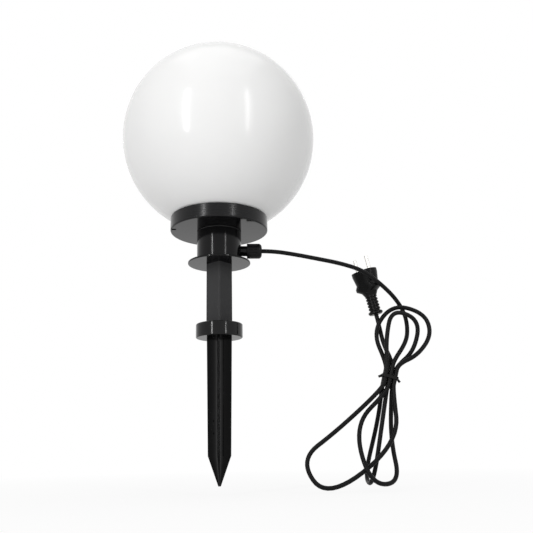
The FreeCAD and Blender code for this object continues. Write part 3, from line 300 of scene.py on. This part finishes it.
def grained_finish(name, colour, roughness, grain, depth, level=0.5):
    """Moulded plastic or rubber with a fine even grain and slightly paler patches."""
    finish = Finish(name)
    patches = finish.noise(34.0, 3.0, 0.6)
    paler = tuple(min(1.0, part * 1.35 + 0.001) for part in colour)
    base = finish.mixed(finish.ramp(patches, ((0.35, 0.0), (0.75, 1.0))), colour, paler)
    normal = finish.bump(finish.noise(grain, 2.0, 0.6), depth)
    return finish.done(base, roughness + 0.10 * (patches - 0.5), normal, level=level)


def satin_finish(look):
    """Satin moulding: fine lines that run round it, and a smoother underside."""
    finish = Finish("collar_black")
    lines = finish.noise(70.0, 3.0, 0.6, (1.0, 1.0, 30.0))
    base = finish.mixed(finish.ramp(lines, ((0.4, 0.0), (0.7, 1.0))), tuple(look.satin),
                        tuple(1.6 * part for part in look.satin))
    below = finish.maths("LESS_THAN", finish.height(), COLLAR_LOW.z + FACE_SLACK)
    side = look.satin_roughness + 0.10 * (lines - 0.5)
    return finish.done(base, side * (1.0 - 0.6 * below), finish.bump(lines, 0.00003, 0.6), level=0.2)


def glossy_black_finish(name, colour, roughness):
    """Polished moulding: deep black, faint flow waves and a few dull specks of dust."""
    finish = Finish(name)
    waves = finish.noise(26.0, 2.0, 0.5, (1.0, 1.0, 0.35))
    dust = finish.flecks(420.0, 0.06) * finish.ramp(finish.noise(60.0), ((0.55, 0.0), (0.75, 1.0)))
    base = finish.mixed(dust, colour, (0.05, 0.05, 0.05))
    dull = roughness + 0.05 * waves + 0.35 * dust
    return finish.done(base, dull, finish.bump(waves, 0.00006, 0.5), level=0.17)


def spike_finish(look):
    """Black moulding with flow lines along its blade, dull scuffs and a polished ring on top."""
    finish = Finish("spike_black")
    flow = finish.noise(220.0, 3.0, 0.6, (1.0, 1.0, 0.05))
    waves = finish.noise(30.0, 2.0)
    scuffs = finish.ramp(finish.noise(90.0, 4.0, 0.7), ((0.55, 0.0), (0.70, 1.0)))
    dark = tuple(0.5 * part for part in look.gloss)
    base = finish.mixed(0.3 * scuffs, dark, (0.012, 0.012, 0.0122))
    relief = finish.bump(flow, 0.00001, 0.5, finish.bump(waves, 0.00005, 0.5))
    ring = finish.maths("GREATER_THAN", finish.height(), FACE_SLACK)
    polish = {"Coat Weight": 0.35 * ring, "Coat Roughness": look.gloss_roughness}
    dull = look.gloss_roughness + 0.04 * flow + 0.08 * scuffs
    return finish.done(base, dull, relief, level=0.07, **polish)


def coated_finish(look):
    """Powder coat on the post: dark grey with a fine orange peel."""
    finish = Finish("post_grey")
    peel = finish.noise(1500.0, 2.0, 0.5)
    patches = finish.noise(40.0, 2.0)
    pale = tuple(part * 1.2 for part in look.post)
    base = finish.mixed(patches, tuple(look.post), pale)
    dull = look.post_roughness + 0.06 * (patches - 0.5)
    return finish.done(base, dull, finish.bump(peel, 0.00004), level=0.06)


def metal_finish(name, colour, roughness):
    """Plated metal with fine tool marks and a few duller patches."""
    finish = Finish(name)
    marks = finish.noise(900.0, 3.0, 0.6, (1.0, 1.0, 12.0))
    tarnish = finish.ramp(finish.noise(120.0, 3.0, 0.6), ((0.45, 0.0), (0.80, 1.0)))
    base = finish.mixed(0.4 * tarnish, colour, tuple(0.72 * part for part in colour))
    normal = finish.bump(marks, 0.000006, 0.5)
    return finish.done(base, roughness + 0.12 * tarnish, normal, metallic=1.0)


def moulded_finish(name, colour, roughness):
    """Pale moulded plastic or glazed ceramic, with faint clouds."""
    finish = Finish(name)
    cloud = finish.noise(70.0, 3.0)
    base = finish.mixed(cloud, colour, tuple(0.93 * part for part in colour))
    return finish.done(base, roughness + 0.06 * cloud, finish.bump(finish.noise(500.0), 0.00002, 0.5))


def board_finish():
    """White circuit board with a faint copper pattern under its mask."""
    finish = Finish("board_white")
    weave = finish.node("ShaderNodeTexWave", {"wave_type": "RINGS", "rings_direction": "Z"},
                        {"Vector": finish.place, "Scale": 60.0, "Distortion": 1.5}, "Fac")
    base = finish.mixed(0.3 * weave, (0.86, 0.86, 0.84), (0.70, 0.72, 0.70))
    return finish.done(base, 0.42 + 0.08 * weave, finish.bump(weave, 0.00003, 0.4))


# Meshes


def new_piece(name, mesh, material):
    """A mesh as an object in the scene, with its material."""
    piece = bpy.data.objects.new(name, mesh)
    bpy.context.scene.collection.objects.link(piece)
    mesh.materials.clear()
    mesh.materials.append(material)
    return piece


def tidy_mesh(mesh, sharp=35.0):
    """Merges doubles, turns faces outwards and keeps edges sharper than an angle crisp."""
    work = bmesh.new()
    work.from_mesh(mesh)
    bmesh.ops.remove_doubles(work, verts=work.verts, dist=MERGE_GAP)
    bmesh.ops.recalc_face_normals(work, faces=work.faces)
    work.to_mesh(mesh)
    work.free()
    mesh.shade_smooth()
    mesh.set_sharp_from_angle(angle=math.radians(sharp))


def seat(piece, body, slot, *nodes):
    """Makes a piece ride on a body, in place of CAD nodes, which it hides."""
    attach(piece, body)
    if nodes:
        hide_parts(*nodes)
    return piece


def dress(material, *nodes):
    """Gives CAD nodes a material."""
    for name in nodes:
        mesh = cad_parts[name].data
        mesh.materials.clear()
        mesh.materials.append(material)


def lathe(name, profile, steps, material, sharp):
    """The closed solid that a profile of (radius, height) points sweeps round the Z axis."""
    mesh = bpy.data.meshes.new(name)
    points, rings = [], []
    for radius, height in profile:
        count = 1 if radius < ON_AXIS else steps
        rings.append((len(points), count))
        for step in range(count):
            angle = math.tau * step / count
            points.append((radius * math.cos(angle), radius * math.sin(angle), height))
    faces = []
    for (low, low_count), (high, high_count) in zip(rings, rings[1:] + rings[:1]):
        if low_count == high_count == 1:
            continue
        for step in range(steps):
            after = (step + 1) % steps
            corners = [low + step % low_count, low + after % low_count,
                       high + after % high_count, high + step % high_count]
            faces.append(tuple(dict.fromkeys(corners)))
    mesh.from_pydata(points, [], faces)
    tidy_mesh(mesh, sharp)
    return new_piece(name, mesh, material)


def arc_points(centre, radius, start, end, count):
    """Points on an arc in the (radius, height) plane, from one angle to another in degrees."""
    turns = [math.radians(start + (end - start) * step / (count - 1)) for step in range(count)]
    return [(centre[0] + radius * math.cos(turn), centre[1] + radius * math.sin(turn)) for turn in turns]


# Repeats, made by Geometry Nodes


class Repeat(Tree):
    """A Geometry Nodes group with named inputs that ends in real geometry with its material."""

    def __init__(self, name, sizes):
        group = bpy.data.node_groups.new(name, "GeometryNodeTree")
        super().__init__(group)
        self.kinds = {}
        for label, kind in sizes.items():
            socket = group.interface.new_socket(label, in_out="INPUT", socket_type=kind)
            self.kinds[label] = socket.identifier
        material = group.interface.new_socket("Material", in_out="INPUT", socket_type="NodeSocketMaterial")
        self.kinds["Material"] = material.identifier
        group.interface.new_socket("Geometry", in_out="OUTPUT", socket_type="NodeSocketGeometry")
        self.entry = group.nodes.new("NodeGroupInput")

    def size(self, label):
        """One named input as a link."""
        return Signal(self, self.entry.outputs[label])

    def close(self, geometry):
        """Realises the copies, gives them the material and ends the tree."""
        real = self.node("GeometryNodeRealizeInstances", {}, {"Geometry": geometry})
        material = self.size("Material")
        painted = self.node("GeometryNodeSetMaterial", {}, {"Geometry": real, "Material": material})
        self.node("NodeGroupOutput", {}, {"Geometry": painted})

    def made(self, name, values, material, place):
        """The baked mesh that these input values give, moved to its place."""
        holder = bpy.data.objects.new(name + "_source", bpy.data.meshes.new(name + "_source"))
        bpy.context.scene.collection.objects.link(holder)
        modifier = holder.modifiers.new("repeat", "NODES")
        modifier.node_group = self.owner
        for label, value in {**values, "Material": material}.items():
            modifier[self.kinds[label]] = value
        graph = bpy.context.evaluated_depsgraph_get()
        mesh = bpy.data.meshes.new_from_object(holder.evaluated_get(graph))
        holder.modifiers.remove(modifier)
        bpy.data.objects.remove(holder)
        mesh.transform(place)
        tidy_mesh(mesh)
        return new_piece(name, mesh, material)


def thread_tree():
    """A rounded ridge that climbs round the Z axis as a left-hand screw thread."""
    tree = Repeat("screw_thread", {
        "Turns": "NodeSocketFloat", "Radius": "NodeSocketFloat", "Height": "NodeSocketFloat",
        "Ridge": "NodeSocketFloat", "Steps": "NodeSocketInt",
    })
    helix = tree.node("GeometryNodeCurveSpiral", {}, {
        "Resolution": tree.size("Steps"), "Rotations": tree.size("Turns"),
        "Start Radius": tree.size("Radius"), "End Radius": tree.size("Radius"),
        "Height": tree.size("Height"),
    })
    ridge = tree.node("GeometryNodeCurvePrimitiveCircle", {"mode": "RADIUS"},
                      {"Resolution": RIDGE_SIDES, "Radius": tree.size("Ridge")})
    swept = tree.node("GeometryNodeCurveToMesh", {},
                      {"Curve": helix, "Profile Curve": ridge, "Fill Caps": True})
    tree.close(swept)
    return tree


def screw_thread(name, radius, ridge, pitch, start, turns, material):
    """One screw thread on a round wall, from a start height upwards."""
    values = {"Turns": turns, "Radius": radius, "Height": turns * pitch, "Ridge": ridge,
              "Steps": round(THREAD_STEPS * turns)}
    return thread_tree().made(name, values, material, Matrix.Translation((0, 0, start)))


def chip_tree():
    """Small square chips in a ring about the Z axis, each turned to face outwards."""
    tree = Repeat("ring_of_chips", {
        "Count": "NodeSocketInt", "Radius": "NodeSocketFloat", "Chip": "NodeSocketVector",
    })
    points = tree.node("GeometryNodeMeshCircle", {"fill_type": "NONE"},
                       {"Vertices": tree.size("Count"), "Radius": tree.size("Radius")})
    chip = tree.node("GeometryNodeMeshCube", {}, {"Size": tree.size("Chip")})
    outwards = tree.node("GeometryNodeInputPosition")
    turn = tree.node("FunctionNodeAlignEulerToVector", {"axis": "X"}, {"Vector": outwards})
    copies = tree.node("GeometryNodeInstanceOnPoints", {},
                       {"Points": points, "Instance": chip, "Rotation": turn})
    tree.close(copies)
    return tree


# Settings


class GlobeLook(bpy.types.PropertyGroup):
    """The opal globe."""

    wall: FloatProperty(name="Wall", description="Thickness of the globe", default=3 * MM, unit="LENGTH")
    lip_radius: FloatProperty(name="Lip radius", description="Outside of the lip", default=52 * MM,
                              unit="LENGTH")
    steps: IntProperty(name="Steps", description="Faces round the globe", default=160, min=24)
    colour: FloatVectorProperty(name="Colour", description="Opal white", subtype="COLOR",
                                default=(0.90, 0.90, 0.895))
    roughness: FloatProperty(name="Roughness", description="Gloss of the opal", default=0.17)


class BlackLook(bpy.types.PropertyGroup):
    """The black mouldings and the grey post."""

    gloss: FloatVectorProperty(name="Gloss black", description="Neck, flange, ring and spike",
                               subtype="COLOR", default=(0.004, 0.004, 0.0044))
    gloss_roughness: FloatProperty(name="Gloss roughness", description="Neck, flange, ring and spike",
                                   default=0.11)
    satin: FloatVectorProperty(name="Satin black", description="Collar", subtype="COLOR",
                               default=(0.005, 0.005, 0.0055))
    satin_roughness: FloatProperty(name="Satin roughness", description="Collar", default=0.22)
    post: FloatVectorProperty(name="Post grey", description="Powder coat of the post", subtype="COLOR",
                              default=(0.042, 0.042, 0.043))
    post_roughness: FloatProperty(name="Post roughness", description="Powder coat", default=0.40)


class CordLook(bpy.types.PropertyGroup):
    """The cord and its plug."""

    diameter: FloatProperty(name="Diameter", description="Cord over its sheath", default=5.4 * MM,
                            unit="LENGTH")
    length: FloatProperty(name="Length", description="From the gland to the plug", default=1.742,
                          unit="LENGTH")
    colour: FloatVectorProperty(name="Colour", description="Sheath and plug", subtype="COLOR",
                                default=(0.004, 0.004, 0.0043))


class ThreadLook(bpy.types.PropertyGroup):
    """The screw threads, and the light sources on the lamp's board."""

    globe_pitch: FloatProperty(name="Globe pitch", description="Climb of one turn of the globe",
                               default=6 * MM, unit="LENGTH")
    globe_ridge: FloatProperty(name="Globe ridge", description="Radius of the globe's ridge",
                               default=0.9 * MM, unit="LENGTH")
    globe_start: FloatProperty(name="Globe start", description="From the lip's edge to the globe's thread",
                               default=1.5 * MM, unit="LENGTH")
    socket_radius: FloatProperty(name="Socket radius", description="Inside of the collar's threaded ring",
                                 default=53.6 * MM, unit="LENGTH")
    socket_ridge: FloatProperty(name="Socket ridge", description="Radius of the collar's ridge",
                                default=0.6 * MM, unit="LENGTH")
    lamp_pitch: FloatProperty(name="Lamp pitch", description="Climb of one turn of the lamp",
                              default=3.63 * MM, unit="LENGTH")
    lamp_ridge: FloatProperty(name="Lamp ridge", description="Radius of the cap's ridge",
                              default=0.28 * MM, unit="LENGTH")
    lamp_start: FloatProperty(name="Lamp start", description="From the cap's end to its thread",
                              default=3 * MM, unit="LENGTH")
    lamp_turns: FloatProperty(name="Lamp turns", description="Turns of the cap's thread", default=4.0)
    shell_wall: FloatProperty(name="Shell wall", description="Thickness of the lampholder's shell",
                              default=0.6 * MM, unit="LENGTH")
    chips: IntProperty(name="Chips", description="Light sources on the lamp's board", default=12)
    chip_circle: FloatProperty(name="Chip circle", description="Radius of the ring of chips",
                               default=15 * MM, unit="LENGTH")
    chip_size: FloatVectorProperty(name="Chip size", description="One light source", subtype="XYZ",
                                   default=(3.0 * MM, 3.0 * MM, 1.4 * MM))


class StageLook(bpy.types.PropertyGroup):
    """The camera, floor and lights."""

    camera_place: FloatVectorProperty(name="Camera", description="Where the camera stands",
                                      subtype="TRANSLATION", default=(0.0, -0.805967, -0.133805))
    yaw: FloatProperty(name="Yaw", description="Camera's turn towards +X", subtype="ANGLE",
                       default=math.radians(4.232))
    pitch: FloatProperty(name="Pitch", description="Camera's tilt upwards", subtype="ANGLE",
                         default=math.radians(15.534))
    roll: FloatProperty(name="Roll", description="Camera's roll", subtype="ANGLE",
                        default=math.radians(-1.223))
    lens: FloatProperty(name="Lens", description="Focal length on a 36 mm sensor, in millimetres",
                        default=FOCAL_PIXELS * SENSOR_WIDTH / PHOTO_PIXELS)
    floor_drop: FloatProperty(name="Floor drop", description="Gap between the floor and the object",
                              default=2 * MM, unit="LENGTH")
    ambient: FloatProperty(name="Ambient", description="Strength of the surrounding light", default=0.30)
    key: FloatProperty(name="Key", description="Power of the overhead softbox", default=6.5)
    left: FloatProperty(name="Left", description="Power of the tall softbox on the left", default=22.0)
    right: FloatProperty(name="Right", description="Power of the tall softbox on the right", default=11.0)
    left_width: FloatProperty(name="Left width", description="Width of the left tall softbox",
                              default=0.10, unit="LENGTH")
    right_width: FloatProperty(name="Right width", description="Width of the right tall softbox",
                               default=0.05, unit="LENGTH")
    strip_height: FloatProperty(name="Strip height", description="Height of each tall softbox",
                                default=1.9, unit="LENGTH")
    shadow: FloatProperty(name="Shadow", description="How much of the object's shadow the floor shows",
                          default=0.12)


class GardenLight(bpy.types.PropertyGroup):
    """Everything that a user would change on the light."""

    globe: PointerProperty(type=GlobeLook)
    black: PointerProperty(type=BlackLook)
    cord: PointerProperty(type=CordLook)
    thread: PointerProperty(type=ThreadLook)
    stage: PointerProperty(type=StageLook)


# Cord's route


def tie_axes():
    """The hank's own axes at its tie: along its strands, across them, and in depth."""
    along = Vector((math.sin(TIE_LEAN), 0, math.cos(TIE_LEAN)))
    across = Vector((math.cos(TIE_LEAN), 0, -math.sin(TIE_LEAN)))
    return along, across, Vector((0, 1, 0))


def slot_point(slot, rise):
    """A point on one strand's line through the tie, at a rise above the tie's centre."""
    along, across, depth = tie_axes()
    side = across * (slot[0] * STRAND_PITCH)
    return TIE_CENTRE + side + depth * (slot[1] * STRAND_PITCH / 2) + along * rise


def loop_corners(loop):
    """The corners of one loop, from its left hip round to its right one."""
    lean, way = math.radians(loop["lean"]), loop["way"]
    out = Vector((math.sin(lean), 0, way * math.cos(lean)))
    right = Vector((math.cos(lean), 0, -way * math.sin(lean)))
    left_reach, right_reach = loop["reach"]
    left_spread, right_spread = loop["spread"]
    sides = (
        (loop["hip"][0] * left_reach, -left_spread),
        (left_reach, -left_spread),
        (right_reach, right_spread),
        (loop["hip"][1] * right_reach, right_spread),
    )
    corners = [(far, aside, depth) for (far, aside), depth in zip(sides, loop["depths"])]
    if "shoulder" in loop:
        corners.insert(2, loop["shoulder"])
    return [TIE_CENTRE + out * far + right * aside + Vector((0, depth, 0))
            for far, aside, depth in corners]


def hank_corners():
    """The corners of the whole hank, from the lead's end to the tail's."""
    corners = [slot_point(HANK_SLOTS[0], HANK_END)]
    for loop, entered, left in zip(HANK_LOOPS, HANK_SLOTS, HANK_SLOTS[1:]):
        way, runs, round_loop = loop["way"], loop["runs"], loop_corners(loop)
        if loop["start"] == "right":
            runs, round_loop = runs[::-1], round_loop[::-1]
        corners += [slot_point(entered, way * STRAND_STRAIGHT), slot_point(entered, way * runs[0])]
        corners += round_loop
        corners += [slot_point(left, way * runs[1]), slot_point(left, way * STRAND_STRAIGHT)]
    return corners + [slot_point(HANK_SLOTS[-1], HANK_END)]


def plug_axis():
    """The direction from the plug's face back to its cord."""
    return Vector((-math.sin(PLUG_LEAN), 0, -math.cos(PLUG_LEAN)))


def cord_points():
    """The whole cord: the lead, the hank's loops and the tail."""
    lead = [CORD_EXIT, CORD_EXIT + Vector((LEAD_STRAIGHT, 0, 0))]
    lead += [Vector(point) for point in LEAD_ROUTE]
    lead.append(slot_point(HANK_SLOTS[0], HANK_END + LEAD_CLOSE))
    start = PLUG_FACE + plug_axis() * (PLUG_LENGTH + SLEEVE_LENGTH)
    tail = [start, start + plug_axis() * TAIL_STRAIGHT] + [Vector(point) for point in TAIL_ROUTE]
    tail.append(slot_point(HANK_SLOTS[-1], HANK_END + TAIL_CLOSE))
    return lead + hank_corners() + tail[::-1]


# Operators


class PieceOperator:
    """What every operator here shares."""

    bl_options = {"REGISTER", "UNDO"}


class GARDENLIGHT_OT_globe(PieceOperator, bpy.types.Operator):
    """Make the opal globe with its lip and thread"""

    bl_idname = "garden_light.globe"
    bl_label = "Globe"

    def execute(self, context):
        look = context.scene.garden_light.globe
        thread = context.scene.garden_light.thread
        opal = opal_finish(look)
        outer = (GLOBE_HIGH.x - GLOBE_LOW.x) / 2
        centre = GLOBE_HIGH.z - outer
        inner = outer - look.wall
        bore = look.lip_radius - look.wall
        low = GLOBE_LOW.z
        start_out = math.degrees(math.asin(-math.sqrt(outer**2 - look.lip_radius**2) / outer))
        start_in = math.degrees(math.asin(-math.sqrt(inner**2 - bore**2) / inner))
        ease = look.wall * LIP_EASE
        profile = [(bore + ease, low), (look.lip_radius - ease, low), (look.lip_radius, low + ease)]
        profile += arc_points((0, centre), outer, start_out, 90, OUTSIDE_POINTS)[:-1]
        profile += [(0, centre + outer)]
        profile += [(0, centre + inner)]
        profile += arc_points((0, centre), inner, 90, start_in, INSIDE_POINTS)[1:]
        profile += [(bore, low + ease)]
        globe = lathe("opal_globe", profile, look.steps, opal, GLOBE_CREASE)
        seat(globe, "globe", "opal_globe", "globe")
        ridge = screw_thread("globe_thread", look.lip_radius, thread.globe_ridge, thread.globe_pitch,
                             low + thread.globe_start, 1.0, opal)
        seat(ridge, "globe", "opal_globe")
        return {"FINISHED"}


class GARDENLIGHT_OT_mouldings(PieceOperator, bpy.types.Operator):
    """Finish the collar, neck, flange, post, spike and seals, and add the collar's thread"""

    bl_idname = "garden_light.mouldings"
    bl_label = "Mouldings"

    def execute(self, context):
        look = context.scene.garden_light.black
        gloss = glossy_black_finish("neck_black", tuple(look.gloss), look.gloss_roughness)
        satin = satin_finish(look)
        dress(satin, "collar")
        thread = context.scene.garden_light.thread
        # half a pitch below the globe's ridge, so that at rest the two ridges lie between each other
        start = GLOBE_LOW.z + thread.globe_start - thread.globe_pitch / 2
        socket = screw_thread("collar_thread", thread.socket_radius, thread.socket_ridge,
                              thread.globe_pitch, start, 1.0, satin)
        seat(socket, "post", "collar_black")
        dress(gloss, "neck_housing", "base_flange")
        dress(spike_finish(look), "ground_spike")
        dress(coated_finish(look), "post_tube")
        rubber = grained_finish("seal_rubber", (0.030, 0.030, 0.030), 0.7, 1800.0, 0.00003)
        dress(rubber, "neck_gasket", "globe_gasket", "gland_seal")
        return {"FINISHED"}


class GARDENLIGHT_OT_gland(PieceOperator, bpy.types.Operator):
    """Finish the cord gland, the insert in the post and the cord clamp"""

    bl_idname = "garden_light.gland"
    bl_label = "Gland"

    def execute(self, context):
        matte = grained_finish("gland_black", (0.005, 0.005, 0.0055), 0.38, 3000.0, 0.000005, 0.12)
        dress(matte, "gland_body", "gland_locknut", "gland_nut", "post_insert", "cord_clamp")
        return {"FINISHED"}


class GARDENLIGHT_OT_cord(PieceOperator, bpy.types.Operator):
    """Lay the cord from the gland through the tied hank to the plug"""

    bl_idname = "garden_light.cord"
    bl_label = "Cord"

    def execute(self, context):
        look = context.scene.garden_light.cord
        sheath = grained_finish("cord_black", tuple(look.colour), 0.38, 2400.0, 0.000004, 0.1)
        curve = bpy.data.curves.new("cord", "CURVE")
        curve.dimensions = "3D"
        curve.resolution_u = 10
        curve.bevel_depth = look.diameter / 2
        curve.bevel_resolution = 5
        curve.use_fill_caps = True
        points = cord_points()
        spline = curve.splines.new("NURBS")
        spline.points.add(len(points) - 1)
        for control, point in zip(spline.points, points):
            control.co = (*point, 1.0)
        spline.order_u = 3
        spline.use_endpoint_u = True
        curve.materials.append(sheath)
        cord = bpy.data.objects.new("cord", curve)
        context.scene.collection.objects.link(cord)
        seat(cord, "post", "cord_black", "cord_lead", "cord_hank", "cord_tail")
        dress(sheath, "cord_entry")
        return {"FINISHED"}


class GARDENLIGHT_OT_plug(PieceOperator, bpy.types.Operator):
    """Finish the plug, its sleeve and pins, and the tie"""

    bl_idname = "garden_light.plug"
    bl_label = "Plug and tie"

    def execute(self, context):
        look = context.scene.garden_light.cord
        rubber = grained_finish("plug_black", tuple(look.colour), 0.30, 2600.0, 0.000004, 0.12)
        dress(rubber, "plug_body", "plug_sleeve")
        dress(metal_finish("pin_metal", (0.80, 0.79, 0.76), 0.42), "plug_pins")
        tie = grained_finish("tie_black", (0.004, 0.004, 0.004), 0.45, 2000.0, 0.00001, 0.12)
        dress(tie, "cord_tie")
        return {"FINISHED"}


class GARDENLIGHT_OT_inside(PieceOperator, bpy.types.Operator):
    """Finish the lampholder, lamp and wiring, and add the lamp's threads and light sources"""

    bl_idname = "garden_light.inside"
    bl_label = "Lampholder, lamp and wiring"

    def execute(self, context):
        thread = context.scene.garden_light.thread
        pale = moulded_finish("holder_plastic", (0.80, 0.79, 0.75), 0.25)
        dress(pale, "lampholder_body", "lampholder_base")
        brass = metal_finish("shell_brass", (0.78, 0.60, 0.30), 0.28)
        dress(brass, "lampholder_shell", "lampholder_terminals", "lampholder_plunger")
        zinc = metal_finish("zinc_steel", (0.62, 0.62, 0.60), 0.34)
        dress(zinc, "captive_nut", "fixing_washer", "fixing_bolt", "clamp_screws", "holder_screws",
              "terminal_screws")
        nickel = metal_finish("cap_metal", (0.80, 0.80, 0.80), 0.24)
        dress(nickel, "lamp_contact", "lamp_cap")
        dress(moulded_finish("lamp_plastic", (0.90, 0.90, 0.89), 0.35), "lamp_housing", "lamp_envelope")
        dress(glossy_black_finish("insulator_black", (0.02, 0.02, 0.02), 0.15), "lamp_insulator")
        self.cut_threads(thread, brass, nickel)
        dress(board_finish(), "led_board")
        amber = moulded_finish("chip_amber", (0.85, 0.62, 0.16), 0.3)
        chips = chip_tree().made("led_chips", {
            "Count": thread.chips, "Radius": thread.chip_circle, "Chip": thread.chip_size,
        }, amber, Matrix.Translation((0, 0, BOARD_HIGH.z)))
        seat(chips, "lamp", "board_white")
        dress(moulded_finish("block_cream", (0.82, 0.78, 0.66), 0.35), "terminal_block")
        brown = grained_finish("live_brown", (0.16, 0.07, 0.03), 0.45, 2400.0, 0.00003)
        dress(brown, "live_core", "live_lead")
        blue = grained_finish("neutral_blue", (0.03, 0.12, 0.42), 0.45, 2400.0, 0.00003)
        dress(blue, "neutral_core", "neutral_lead")
        return {"FINISHED"}

    def cut_threads(self, thread, brass, nickel):
        """Rolls the screw threads of the lamp's cap and of the shell that takes it."""
        cap = (CAP_HIGH.x - CAP_LOW.x) / 2
        start = CAP_LOW.z + thread.lamp_start
        ridge = screw_thread("cap_thread", cap, thread.lamp_ridge, thread.lamp_pitch, start,
                             thread.lamp_turns, nickel)
        seat(ridge, "lamp", "cap_metal")
        bore = (SHELL_HIGH.x - SHELL_LOW.x) / 2 - thread.shell_wall
        groove = screw_thread("shell_thread", bore, thread.lamp_ridge, thread.lamp_pitch,
                              start - thread.lamp_pitch / 2, thread.lamp_turns, brass)
        seat(groove, "post", "shell_brass")


def soft_light(name, size, place, power):
    """A rectangular softbox that faces the object and that the camera doesn't see."""
    data = bpy.data.lights.new(name, "AREA")
    data.shape = "RECTANGLE"
    data.size, data.size_y = size
    data.energy = power
    lamp = bpy.data.objects.new(name, data)
    lamp.location = place
    lamp.rotation_euler = (LIT_MIDDLE - place).to_track_quat("-Z", "Y").to_euler()
    lamp.visible_camera = False
    bpy.context.scene.collection.objects.link(lamp)


def seen_directly(tree):
    """1 where a ray comes from the camera, a reflection or a clear material, and 0 elsewhere."""
    paths = [tree.node("ShaderNodeLightPath", output=kind)
             for kind in ("Is Camera Ray", "Is Glossy Ray", "Is Transmission Ray")]
    return tree.maths("MINIMUM", paths[0] + paths[1] + paths[2], 1.0)


class GARDENLIGHT_OT_stage(PieceOperator, bpy.types.Operator):
    """Set the camera, floor, background and lights"""

    bl_idname = "garden_light.stage"
    bl_label = "Stage"

    def execute(self, context):
        look = context.scene.garden_light.stage
        scene = context.scene
        scene.view_settings.view_transform = "Standard"
        self.set_camera(scene, look)
        self.set_world(scene, look)
        self.set_floor(look)
        soft_light("overhead", OVERHEAD_SIZE, OVERHEAD_PLACE, look.key)
        soft_light("tall_left", (look.left_width, look.strip_height), LEFT_PLACE, look.left)
        soft_light("tall_right", (look.right_width, look.strip_height), RIGHT_PLACE, look.right)
        return {"FINISHED"}

    def set_camera(self, scene, look):
        """Stands the camera where the photograph was taken."""
        data = bpy.data.cameras.new("camera")
        data.lens = look.lens
        data.sensor_width = SENSOR_WIDTH
        data.clip_start, data.clip_end = 0.01, 50.0
        camera = bpy.data.objects.new("camera", data)
        camera.location = look.camera_place
        level = Euler((math.pi / 2 + look.pitch, 0, -look.yaw), "XYZ").to_matrix()
        camera.rotation_euler = (level @ Matrix.Rotation(look.roll, 3, "Z")).to_euler()
        scene.collection.objects.link(camera)
        scene.camera = camera

    def set_world(self, scene, look):
        """White where it is seen, and dimmer where it only lights the object."""
        world = bpy.data.worlds.new("surroundings")
        scene.world = world
        world.use_nodes = True
        tree = Tree(world.node_tree)
        tree.owner.nodes.clear()
        seen = seen_directly(tree)
        strength = look.ambient + (1.0 - look.ambient) * seen
        sky = tree.node("ShaderNodeBackground", {}, {"Color": (1, 1, 1, 1), "Strength": strength})
        tree.node("ShaderNodeOutputWorld", {}, {"Surface": sky})

    def set_floor(self, look):
        """A pale floor that keeps a faint shadow and melts into the background."""
        height = CAD_BOX[0].z - look.floor_drop
        mesh = bpy.data.meshes.new("floor")
        corners = [(side * FLOOR_REACH, front * FLOOR_REACH, height)
                   for side, front in ((-1, -1), (1, -1), (1, 1), (-1, 1))]
        mesh.from_pydata(corners, [], [(0, 1, 2, 3)])
        finish = Finish("floor")
        plain = finish.node("ShaderNodeBsdfDiffuse", {}, {"Color": (1, 1, 1, 1)})
        white = finish.node("ShaderNodeEmission", {}, {"Color": (1, 1, 1, 1), "Strength": 1.0})
        where = finish.node("ShaderNodeMapping", {}, {"Vector": finish.place, "Location": (0, 0, -height)})
        near = finish.node("ShaderNodeTexGradient", {"gradient_type": "SPHERICAL"}, {"Vector": where}, "Fac")
        share = seen_directly(finish) * (1.0 - look.shadow * near)
        shown = finish.node("ShaderNodeMixShader", {}, {0: share, 1: plain, 2: white})
        finish.node("ShaderNodeOutputMaterial", {}, {"Surface": shown})
        new_piece("floor", mesh, finish.material)


class GARDENLIGHT_PT_panel(bpy.types.Panel):
    """The light's settings and the buttons that make its pieces"""

    bl_label = "Garden Light"
    bl_idname = "GARDENLIGHT_PT_panel"
    bl_space_type = "VIEW_3D"
    bl_region_type = "UI"
    bl_category = "Garden Light"

    def draw(self, context):
        settings = context.scene.garden_light
        for group in ("globe", "black", "cord", "thread", "stage"):
            box = self.layout.box()
            box.label(text=group.capitalize())
            look = getattr(settings, group)
            for key in look.__annotations__:
                box.prop(look, key)
        for operator in OPERATORS:
            self.layout.operator(operator.bl_idname)


OPERATORS = (
    GARDENLIGHT_OT_globe,
    GARDENLIGHT_OT_mouldings,
    GARDENLIGHT_OT_gland,
    GARDENLIGHT_OT_cord,
    GARDENLIGHT_OT_plug,
    GARDENLIGHT_OT_inside,
    GARDENLIGHT_OT_stage,
)
CLASSES = (GlobeLook, BlackLook, CordLook, ThreadLook, StageLook, GardenLight, *OPERATORS,
           GARDENLIGHT_PT_panel)


def register():
    """Registers the settings, operators and panel."""
    for kind in CLASSES:
        bpy.utils.register_class(kind)
    bpy.types.Scene.garden_light = PointerProperty(type=GardenLight)


def unregister():
    """Takes them away again."""
    del bpy.types.Scene.garden_light
    for kind in reversed(CLASSES):
        bpy.utils.unregister_class(kind)


def main():
    """Makes the whole light."""
    register()
    bpy.ops.garden_light.globe()
    bpy.ops.garden_light.mouldings()
    bpy.ops.garden_light.gland()
    bpy.ops.garden_light.cord()
    bpy.ops.garden_light.plug()
    bpy.ops.garden_light.inside()
    bpy.ops.garden_light.stage()


if __name__ == "__main__":
    main()
